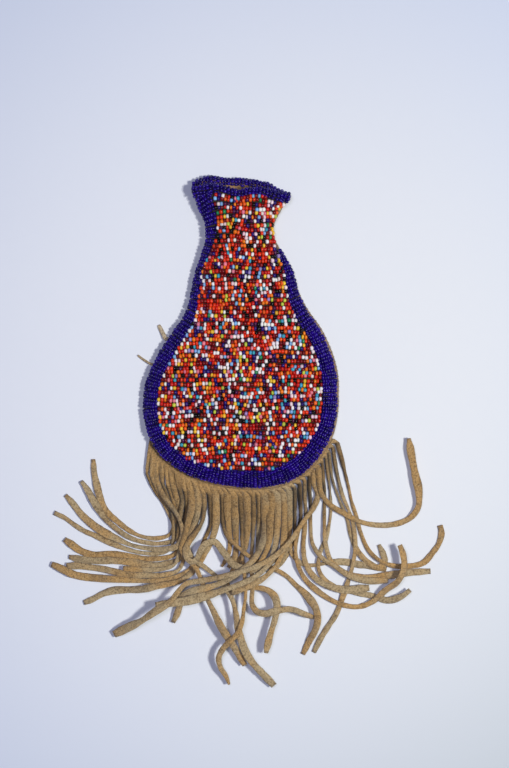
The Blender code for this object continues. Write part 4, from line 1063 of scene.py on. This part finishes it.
def drape(routes, root_widths):
    """The height of each thong's underside at the points of its route."""
    down, heights = [], {}
    for name in sorted(routes, key=lambda n: THONGS[n][0]):
        route = routes[name]
        at_rings = run_along(route[:, :2])
        run = np.linspace(0, at_rings[-1], int(at_rings[-1]) + 1)
        fine = read_path(route[:, :2], at_rings, run)
        width = thong_width(run, root_widths[name])
        need = np.interp(run, at_rings, route[:, 2])
        for other, other_width, other_run, top in down:
            apart = np.hypot(fine[:, None, 0] - other[None, :, 0], fine[:, None, 1] - other[None, :, 1])
            touching = apart < (width[:, None] + other_width[None, :]) / 2 + SIDE_GAP
            touching &= ~((run[:, None] < THONG_TAPER) & (other_run[None, :] < THONG_TAPER))
            need = np.maximum(need, np.where(touching, top[None, :] + STACK_GAP, 0).max(1))
        slope = DRAPE_SLOPE * np.clip(np.abs(at_rings[:, None] - run[None, :]) - DRAPE_HOLD, 0, None)
        held = (need[None, :] - slope).max(1)
        start = SLIT_HEIGHT * (1 - ease(at_rings, 0, 3 * THONG_TAPER))
        rise = ease(at_rings, 0, 1.7 * THONG_TAPER)
        held = np.maximum(held * rise, start)
        heights[name] = np.concatenate([[SLIT_HEIGHT], held[1:]])
        down.append((fine, width, run, np.interp(run, at_rings, heights[name]) + FRINGE_HIDE))
    return heights


routes, root_widths, root_spans = {}, {}, {}
for i, (name, (_, points)) in enumerate(THONGS.items()):
    routes[name] = smooth_route([tuple(roots[i]), *points], RING_SPACING, RING_TURN)
    slit, leaves = slits[i + 1] - slits[i], unit(np.array(points[0][:2]) - roots[i])
    root_spans[name] = max(NARROWEST, abs(slit[0] * leaves[1] - slit[1] * leaves[0]))
    root_widths[name] = max(NARROWEST, ROOT_FILL * root_spans[name])
heights = drape(routes, root_widths)
pile = max(h.max() for h in heights.values()) + FRINGE_HIDE
print("thongs:", len(THONGS), "pile:", round(pile, 1), "mm high")

# %% [markdown]
# The mesh of the fringe is one skin. Its heading is a grid that runs from inside the seam to the
# slits, five points to a thong. From the slits on, those same five points, over and under, become
# the cross-section of the thong, which is carried along its route. Each section is rounded at its
# cut edges, and its width, roll and line wander a little, because hide stretches as it is cut.
# Some thongs lie on top of their neighbours at the roots: those are raised and wide there, and
# the ones between them are narrow and folded, with painted shade that darkens them there.
#
# In the next cells a group of three numbers is a habit for `wander`, and a pair is the start and
# the end of a stretch of a thong, in millimetres from its root.

# %% What each thong has of its own
ACROSS = np.array([-1.0, -0.84, 0.0, 0.84, 1.0])
EDGE_THICK = np.array([0.70, 0.98, 1.0, 0.98, 0.70])
STEP_ALONG, FOLD_DEPTH, DEEPEST_SLIT = 1.5, 0.9, 0.75
OWN_SEED, SLENDER = 61, {"left_d": 0.8, "low_q": 0.8}

own = np.random.default_rng(OWN_SEED)
COUNT = len(THONGS)
PUFF = own.uniform(0.4, 1.6, COUNT)
BREADTH = own.uniform(0.92, 1.2, COUNT)
TONE = own.uniform(-1, 1, COUNT)
SLIT_DEPTH = own.uniform(0, DEEPEST_SLIT, COUNT + 1)
SLIT_SHIFT = own.uniform(-0.75, 0.75, COUNT + 1)
ON_TOP = own.random(COUNT) < 0.45
LIFT = np.where(ON_TOP, own.uniform(0.7, 1.2, COUNT), 0)
ROOT_BREADTH = np.where(ON_TOP, own.uniform(1.1, 1.45, COUNT), own.uniform(0.86, 1.0, COUNT))
# Painted shade at the roots: along the edges, on a fold line and all over, least on the thongs on top.
CREASE_SHADE = np.where(ON_TOP, own.uniform(0.3, 0.6, COUNT), own.uniform(0.8, 1.1, COUNT))
SLIM = np.where(ON_TOP, 0, own.uniform(0.1, 0.34, COUNT))
UNDER_SHADE = np.where(ON_TOP, 0.05, own.uniform(0.15, 0.5, COUNT))
FOLD_SHADE = 0.6 * own.random(COUNT) ** 2
for name, breadth in SLENDER.items():
    BREADTH[list(THONGS).index(name)] = breadth
print("thongs on top at the roots:", int(ON_TOP.sum()))

# %% One thong
TIP_SEED, TIP_LEAST, TIP_MOST, TIP = 300, 0.1, 0.45, 5
WIDTH_STRAY, NICKS, LINE_STRAY = (50, 9, 0.17), (90, 2.0, 0.12), (210, 7, 0.16)
ROLL, CURL_STRAY, THICKNESS_STRAY = (130, 20, 0.5), (170, 18, 0.16), (250, 12, 0.08)
TONE_STRAY, CROWDING_STRAY = (330, 22, 0.5), (370, 5, 0.35)
HANGS_FREE, SPREADS, PRESSED, RELEASED = (4, 14), (12, 34), (8, 20), (32, 50)
LIES_ON_TOP, COMES_DOWN, ROOT_FOLD_ENDS = (0, 5), (14, 32), (0, 11)
CROWD_THINS, CROWD_ENDS, ROOT_TONE_ENDS = (12, 40), (30, 50), (10, 45)
CURL, ROOT_FOLD, ROOT_TONE = 0.30, 0.6 * FOLD_DEPTH, 0.8
SOFTEN = np.array([1, 2, 3, 2, 1]) / 9


def thong_half_width(i, name, run, full):
    """Half the width of a thong along its run. full is 0 at its root and 1 once it hangs free."""
    half = thong_width(run, root_spans[name]) / 2
    half = half * (ROOT_BREADTH[i] + (BREADTH[i] - ROOT_BREADTH[i]) * ease(run, *SPREADS))
    half = half * (1 - SLIM[i] * (ease(run, *PRESSED) - ease(run, *RELEASED)))
    half = half * (1 + full * wander(run, WIDTH_STRAY, i)) + full * wander(run, NICKS, i)
    narrows = np.random.default_rng(TIP_SEED + i).uniform(TIP_LEAST, TIP_MOST)
    return half * (1 - narrows * (1 - ease(run[-1] - run, 0, TIP)))


def thong_underside(i, name, run):
    """The height of a thong's underside along its run, softened where it goes over another."""
    coarse_run = run_along(routes[name][:, :2])
    under = np.interp(run / run[-1] * coarse_run[-1], coarse_run, heights[name])
    under = np.convolve(np.pad(under, 2, mode="edge"), SOFTEN, "valid")
    return under + LIFT[i] * ease(run, *LIES_ON_TOP) * (1 - ease(run, *COMES_DOWN))


def thong_sections(i, name):
    """A ring of ten points round the thong at every step along it, and its run."""
    route = smooth_route([tuple(roots[i]), *THONGS[name][1]], STEP_ALONG)
    run = run_along(route[:, :2])
    full = ease(run, *HANGS_FREE)
    half = thong_half_width(i, name, run, full)
    roll = full * wander(run, ROLL, i)
    root_fold = ROOT_FOLD * PUFF[i] * (1 - ease(run, *ROOT_FOLD_ENDS))
    curl = full * (CURL + wander(run, CURL_STRAY, i)) + root_fold
    side = to_left(unit(np.gradient(route[:, :2], axis=0)))
    middle = route[:, :2] + side * (full * wander(run, LINE_STRAY, i))[:, None]
    place = middle[:, None] + side[:, None] * (ACROSS[None, :] * (half * np.cos(roll))[:, None])[..., None]
    tilt = ACROSS[None, :] * (half * np.sin(roll))[:, None] + curl[:, None] * (1 - ACROSS[None, :] ** 2) * 0.9
    thick = FRINGE_HIDE * (1 + wander(run, THICKNESS_STRAY, i))[:, None] * EDGE_THICK[None, :] / 2
    centre = thong_underside(i, name, run)[:, None] + FRINGE_HIDE / 2 + tilt
    lift = np.maximum(0.02 - (centre - thick).min(1), 0)[:, None]
    beneath = np.concatenate([place, (centre - thick + lift)[..., None]], -1)
    over = np.concatenate([place, (centre + thick + lift)[..., None]], -1)
    return np.concatenate([beneath, over[:, ::-1]], 1), run


def thong_notes(i, run, size):
    """Cut edges, painted shade and tone at each point of a thong. The painted shade is darkest where it lies
    crowded and folded.
    """
    rings, fold = len(run) - 1, 0.06 + FOLD_SHADE[i]
    near_edge = np.tile([0.8, 0.2, 0, 0, 0.4, 0.4, 0, 0, 0.2, 0.8], rings)
    near_end = np.repeat(0.4 * np.exp((run - run[-1])[1:] / 0.8), size)
    # Painted shade across the ring: dark at the edges and on the fold line.
    edge_shade = np.tile([1, 0.8, fold, 0.3, 0.9, 0.9, 0.3, fold, 0.8, 1], rings)
    crowded = 1 - ease(run, *CROWD_THINS) + wander(run, CROWDING_STRAY, i) * (1 - ease(run, *CROWD_ENDS))
    tone = TONE[i] + wander(run, TONE_STRAY, i) - ROOT_TONE * (1 - ease(run, *ROOT_TONE_ENDS))
    return (np.maximum(near_edge, near_end) * np.repeat(ease(run[1:], 0, 6), size),
            (CREASE_SHADE[i] * edge_shade + UNDER_SHADE[i]) * np.repeat(np.clip(crowded, 0, 1)[1:], size),
            np.repeat(tone[1:], size))


first_run = thong_sections(0, "left_a")[1]
print("left_a:", len(first_run), "sections,", round(first_run[-1]), "mm")


# %% The heading
HEADING_IN_SEAM, HEADING_PAST_SEAM, HEADING_ROWS = 2.6, 1.0, 9
# Painted shadow of the seam's ridge on the heading just past it.
SEAM_SHADE = 0.7
PER_THONG = len(ACROSS) - 1
COLUMNS = COUNT * PER_THONG + 1


def heading_lines():
    """Three lines along the seam: inside it, on it and just past it."""
    share = np.linspace(0, 1, 400)
    share = share[edge_point(share, np.full(400, HEADING_IN_SEAM))[:, 1] < HEADING_TOP_Y]
    share = np.linspace(share[0], share[-1], COLUMNS)
    return [edge_point(share, np.full(COLUMNS, inward))
            for inward in (HEADING_IN_SEAM, 0.0, -HEADING_PAST_SEAM)]


def heading_points():
    """The points of the heading, an under and an over side for each row, with their painted shade and tone.
    """
    at = np.arange(COLUMNS) / PER_THONG
    thong = np.minimum(at.astype(int), COUNT - 1)
    seen = slits + unit(np.gradient(slits, axis=0)) * SLIT_SHIFT[:, None]
    slit_row = read_path(seen, np.arange(len(slits)), at)
    upper, sewn, beyond = heading_lines()
    upper_height, sewn_height = (layers(*line.T)[1] + CLEARANCE for line in (upper, sewn))
    crown = np.cos((at % 1 - 0.5) * 2 * np.pi) * 0.5 + 0.5
    short = (1 - crown) ** 3 * np.interp(at, np.arange(COUNT + 1), SLIT_DEPTH)
    notch_shade = 0.35 + 0.65 * short / DEEPEST_SLIT
    streak = 0.7 * own.random(COLUMNS) ** 6
    rows = [(upper, upper_height, 0.0, SEAM_SHADE), (sewn, sewn_height, 0.0, SEAM_SHADE)]
    for step in np.linspace(0, 1, HEADING_ROWS - 2):
        reach = step * (1 - short)
        place = beyond * (1 - reach[:, None]) + slit_row * reach[:, None]
        fold = (0.15 + 0.85 * step) * FOLD_DEPTH * (crown * PUFF[thong] - 0.45)
        height = sewn_height * (1 - reach) + SLIT_HEIGHT * reach + np.maximum(fold, -0.35)
        rows.append((place, height, step, SEAM_SHADE * (1 - ease(step, 0, 0.25))))
    points, shade, tone = [], [], []
    for place, height, step, seam_shade in rows:
        # Painted shade in the heading: dark notches at the slit corners, random dark streaks, and a dark band
        # next to the seam.
        heading_shade = np.maximum((1 - crown) ** 3 * step ** 1.5 * notch_shade, streak * (0.3 + 0.7 * step))
        for lift in (0, FRINGE_HIDE):
            points.append(np.column_stack([place, height + lift]))
            shade.append(np.maximum(heading_shade, seam_shade))
            tone.append(TONE[thong] * step * crown - 0.7)
    return points, shade, tone


def at_row(row, over, column):
    """The number of a point of the heading."""
    return (2 * row + over) * COLUMNS + column


def heading_faces():
    """The over and under sides of the heading, its edge in the seam and its two short ends."""
    faces = []
    for c in range(COLUMNS - 1):
        for r in range(HEADING_ROWS - 1):
            faces.append((at_row(r, 1, c), at_row(r + 1, 1, c), at_row(r + 1, 1, c + 1), at_row(r, 1, c + 1)))
            faces.append((at_row(r, 0, c), at_row(r, 0, c + 1), at_row(r + 1, 0, c + 1), at_row(r + 1, 0, c)))
        faces.append((at_row(0, 0, c), at_row(0, 1, c), at_row(0, 1, c + 1), at_row(0, 0, c + 1)))
    for r in range(HEADING_ROWS - 1):
        for column, near, far in ((0, 0, 1), (COLUMNS - 1, 1, 0)):
            faces.append((at_row(r, near, column), at_row(r + 1, near, column),
                          at_row(r + 1, far, column), at_row(r, far, column)))
    return faces


print("heading:", COLUMNS, "columns of points,", len(heading_faces()), "faces")


# %% Fringe
def make_fringe():
    """Heading and thongs in one skin. Returns the piece and the length of each thong."""
    points, shade, tone = heading_points()
    cut = [np.zeros(COLUMNS) for _ in points]
    faces = heading_faces()
    count = len(points) * COLUMNS
    lengths = {}
    for i, name in enumerate(THONGS):
        sections, run = thong_sections(i, name)
        rings, size = sections.shape[0] - 1, sections.shape[1]
        root = [at_row(HEADING_ROWS - 1, 0, i * PER_THONG + k) for k in range(PER_THONG + 1)]
        root += [at_row(HEADING_ROWS - 1, 1, i * PER_THONG + k) for k in range(PER_THONG, -1, -1)]
        faces += [(root[k], root[(k + 1) % size], count + (k + 1) % size, count + k) for k in range(size)]
        faces += ring_faces(rings, size, count).tolist()
        faces += flat_end(count + (rings - 1) * size, size)
        points.append(sections[1:].reshape(-1, 3))
        for notes, more in zip((cut, shade, tone), thong_notes(i, run, size)):
            notes.append(more)
        count += rings * size
        lengths[name] = run[-1]
    piece = make_piece("fringe_strip", np.concatenate(points), faces, fringe_hide, "fringe_hide",
                       cut_edge=np.concatenate(cut), shade=np.concatenate(shade), tone=np.concatenate(tone))
    return piece, lengths


fringe, thong_lengths = make_fringe()
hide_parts("fringe")
print("thongs:", round(min(thong_lengths.values())), "to", round(max(thong_lengths.values())), "mm long")

# %% [markdown]
# ## The ties and the sewing
#
# Two ends of a thin thong come out of the left seam and fall to the table. Each is a narrow strip
# with rounded edges, given by its height on the bag, its route out from the seam and its width.
# The panels are sewn edge to edge with overcast stitches, which go over the edge every few
# millimetres. Each stitch is a short arc of thread from the front face, out over the edge and
# back under, so that it shows along the bare margin and from behind.

# %% Ties
TIE_HIDE, TIE_SIDES, TIE_STEP = 0.9, 10, 0.6
TIE_UPPER = (28.8, [(-1.2, 0.6), (-2.4, 2.6), (-3.8, 5.2), (-5.2, 8.0)], 2.2)
TIE_LOWER = (15.2, [(-1.4, 0.5), (-3.4, 1.6), (-6.0, 3.2), (-8.6, 5.2)], 1.4)


def make_tie_end(name, tie, node, slot, seed):
    height_on_bag, steps, width = tie
    left_side = EDGE[:len(EDGE) // 2, 1]
    along_seam = np.interp(-height_on_bag, -left_side, EDGE_RUN[:len(left_side)]) / EDGE_RUN[-1]
    seam, start, leaves = (edge_point(np.array([along_seam]), np.array([inward]))[0]
                           for inward in (0.0, -CLEARANCE, -CLEARANCE - 1))
    route = smooth_route([start, leaves, *(start + np.array(step) for step in steps)], TIE_STEP)
    seam_height = float(layers(seam[:1], seam[1:])[1][0]) + CLEARANCE / 2
    run = run_along(route[:, :2])
    fall = ease(run, 1.0, 0.85 * run[-1])
    centre = (seam_height - TIE_HIDE / 2) * (1 - fall) + TIE_HIDE / 2 + 0.03
    side = to_left(unit(np.gradient(route[:, :2], axis=0)))
    angle = np.arange(TIE_SIDES) * 2 * np.pi / TIE_SIDES
    broad = width / 2 * (1 + wander(run, (seed, 3, 0.12))) * (1 - 0.25 * (1 - ease(run[-1] - run, 0, 1.2)))
    place = route[:, None, :2] + side[:, None] * (broad[:, None] * np.cos(angle)[None, :])[..., None]
    height = centre[:, None] + TIE_HIDE / 2 * np.sin(angle)[None, :]
    rings = np.concatenate([place, np.maximum(height, 0.0)[..., None]], -1)
    cut = np.tile(0.5 * np.abs(np.cos(angle)) ** 3, len(rings))
    piece = make_piece(name, rings.reshape(-1, 3), tube_faces(len(rings), TIE_SIDES), tie_hide, slot,
                       cut_edge=cut, shade=np.zeros(len(cut)))
    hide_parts(node)
    return float(run[-1])


print("ties:", [round(make_tie_end(*tie), 1) for tie in (
    ("tie_upper", TIE_UPPER, "tie_end_upper", "tie_upper_hide", 71),
    ("tie_lower", TIE_LOWER, "tie_end_lower", "tie_lower_hide", 72))], "mm long")

# %% Sewing
STITCH_PITCH, FIRST_STITCH, LAST_STITCH = 2.7, 0.03, 0.97
BITE, STITCH_SLANT, STITCH_OUT, STITCH_SEED = 1.3, 0.9, -0.18, 83
HOLE_DEPTH, STITCH_RISE, HALF_OUT, NEARLY_OUT = 0.35, 0.22, 0.4, 0.85
SEWING_THICK, BEAD_THREAD_THICK, THREAD_SIDES = 0.42, 0.3, 6
ASKEW = np.array([0.19, 0.31, 0.93])


def thread_tubes(name, paths, thick):
    """Round threads along short paths, all in one piece."""
    points, faces, count = [], [], 0
    angle = np.arange(THREAD_SIDES) * 2 * np.pi / THREAD_SIDES
    for path in paths:
        along = unit(np.gradient(path, axis=0))
        side = unit(np.cross(along, ASKEW))
        up = np.cross(along, side)
        ring = (path[:, None] + side[:, None] * (np.cos(angle) * thick / 2)[None, :, None]
                + up[:, None] * (np.sin(angle) * thick / 2)[None, :, None])
        points.append(ring.reshape(-1, 3))
        faces += tube_faces(len(path), THREAD_SIDES, count)
        count += len(path) * THREAD_SIDES
    return make_piece(name, np.concatenate(points), faces, sewing_thread)


def seam_stitches():
    """Overcast stitches over the joined edges, from near the mouth round to near the mouth."""
    draw = np.random.default_rng(STITCH_SEED)
    count = int((LAST_STITCH - FIRST_STITCH) * EDGE_RUN[-1] / STITCH_PITCH)
    paths = []
    for share in np.linspace(FIRST_STITCH, LAST_STITCH, count):
        share = share + draw.uniform(-0.0008, 0.0008)
        bite = BITE + draw.uniform(-0.25, 0.25)
        slant = STITCH_SLANT / EDGE_RUN[-1]
        place = edge_point(share + slant * np.linspace(-1, 1, 3), np.array([bite, 0.0, bite]))
        under, _, _, over = layers(place[:, 0], place[:, 1])
        top, low = over[0] + 0.05, under[2] - 0.05
        out = edge_point(np.array([share]), np.array([STITCH_OUT]))[0]
        turns = [(0, 0, top - HOLE_DEPTH), (0, HALF_OUT, top + STITCH_RISE), (0, NEARLY_OUT, over[1] + 0.1),
                 (0, 1, (over[1] + under[1]) / 2), (2, NEARLY_OUT, max(under[1] - 0.1, 0.25)),
                 (2, HALF_OUT, max(low - STITCH_RISE, 0.22)), (2, 0, max(low + HOLE_DEPTH, 0.3))]
        arc = np.array([(*(place[end] * (1 - way) + out * way), height) for end, way, height in turns])
        arc[:, 1] += lip_shift(arc[:, 0], np.minimum(arc[:, 1], MOUTH_Y), FRONT_LIP)
        paths.append(arc)
    return paths


stitches = thread_tubes("seam_stitches", seam_stitches(), SEWING_THICK)
bead_thread = thread_tubes("bead_thread", [path[::4] for path in field_paths], BEAD_THREAD_THICK)

# %% [markdown]
# ## Soft pieces, floor and finish
#
# Each panel and the fringe are flat cut hide, and the size and area of hide that the fringe was
# cut from are worked out. The floor is a pale sheet of paper, cool in tone, far larger than the
# view, with a painted fall-off of the light: darker and greyer away from the middle.

# %% Soft pieces
HEADING_LENGTH, HEADING_DEEPEST, HEADING_MEAN = 0.155, 12, 0.009
FRINGE_FLAT = (HEADING_LENGTH, (max(thong_lengths.values()) + HEADING_DEEPEST) * MM)
mean_width = (THONG_WIDTH + THONG_END_WIDTH) / 2
thong_area = sum(length * mean_width for length in thong_lengths.values()) * 1e-6
fringe_area = thong_area + HEADING_LENGTH * HEADING_MEAN
print("hide in the fringe:", round(fringe_area * 1e4), "cm2")

# %% Floor
REACH, FLOOR_DROP = 4.0, 0.2 * MM
FIBRE_SCALE, FIBRE_DEPTH = 160.0, 0.4 * MM
floor_mesh = bpy.data.meshes.new("floor")
floor_mesh.from_pydata([(-REACH, -REACH, 0), (REACH, -REACH, 0), (REACH, REACH, 0), (-REACH, REACH, 0)], [],
                       [(0, 1, 2, 3)])
paper = Finish("paper", Roughness=0.9, Specular_IOR_Level=0.1)
fibres = paper.noise(FIBRE_SCALE)
# Painted fall-off of the light: the paper is darker away from the middle, greyest at the lower right, and a
# little less blue to the right.
away = paper.node("ShaderNodeVectorMath", {"operation": "LENGTH"}, {0: paper.place()}, out=1)
across, up = (paper.part(paper.place(), axis) for axis in (0, 1))
outer = paper.blend(paper.fade(across - up, 0.0, 0.4), tint(202, 213, 236), tint(186, 196, 204))
inner = paper.blend(paper.fade(across, -0.12, 0.16), tint(232, 236, 244), tint(231, 234, 237))
sheet = paper.blend(paper.fade(away, 0.08, 0.36), inner, outer)
paper.feed(Base_Color=paper.blend(fibres * 0.12, sheet, tint(214, 220, 233)),
           Normal=paper.relief(fibres, 0.05, FIBRE_DEPTH))
floor_mesh.materials.append(paper.material)
floor = bpy.data.objects.new("floor", floor_mesh)
floor.location.z = -FLOOR_DROP
scene.collection.objects.link(floor)
print("paper:", 2 * REACH, "m across")
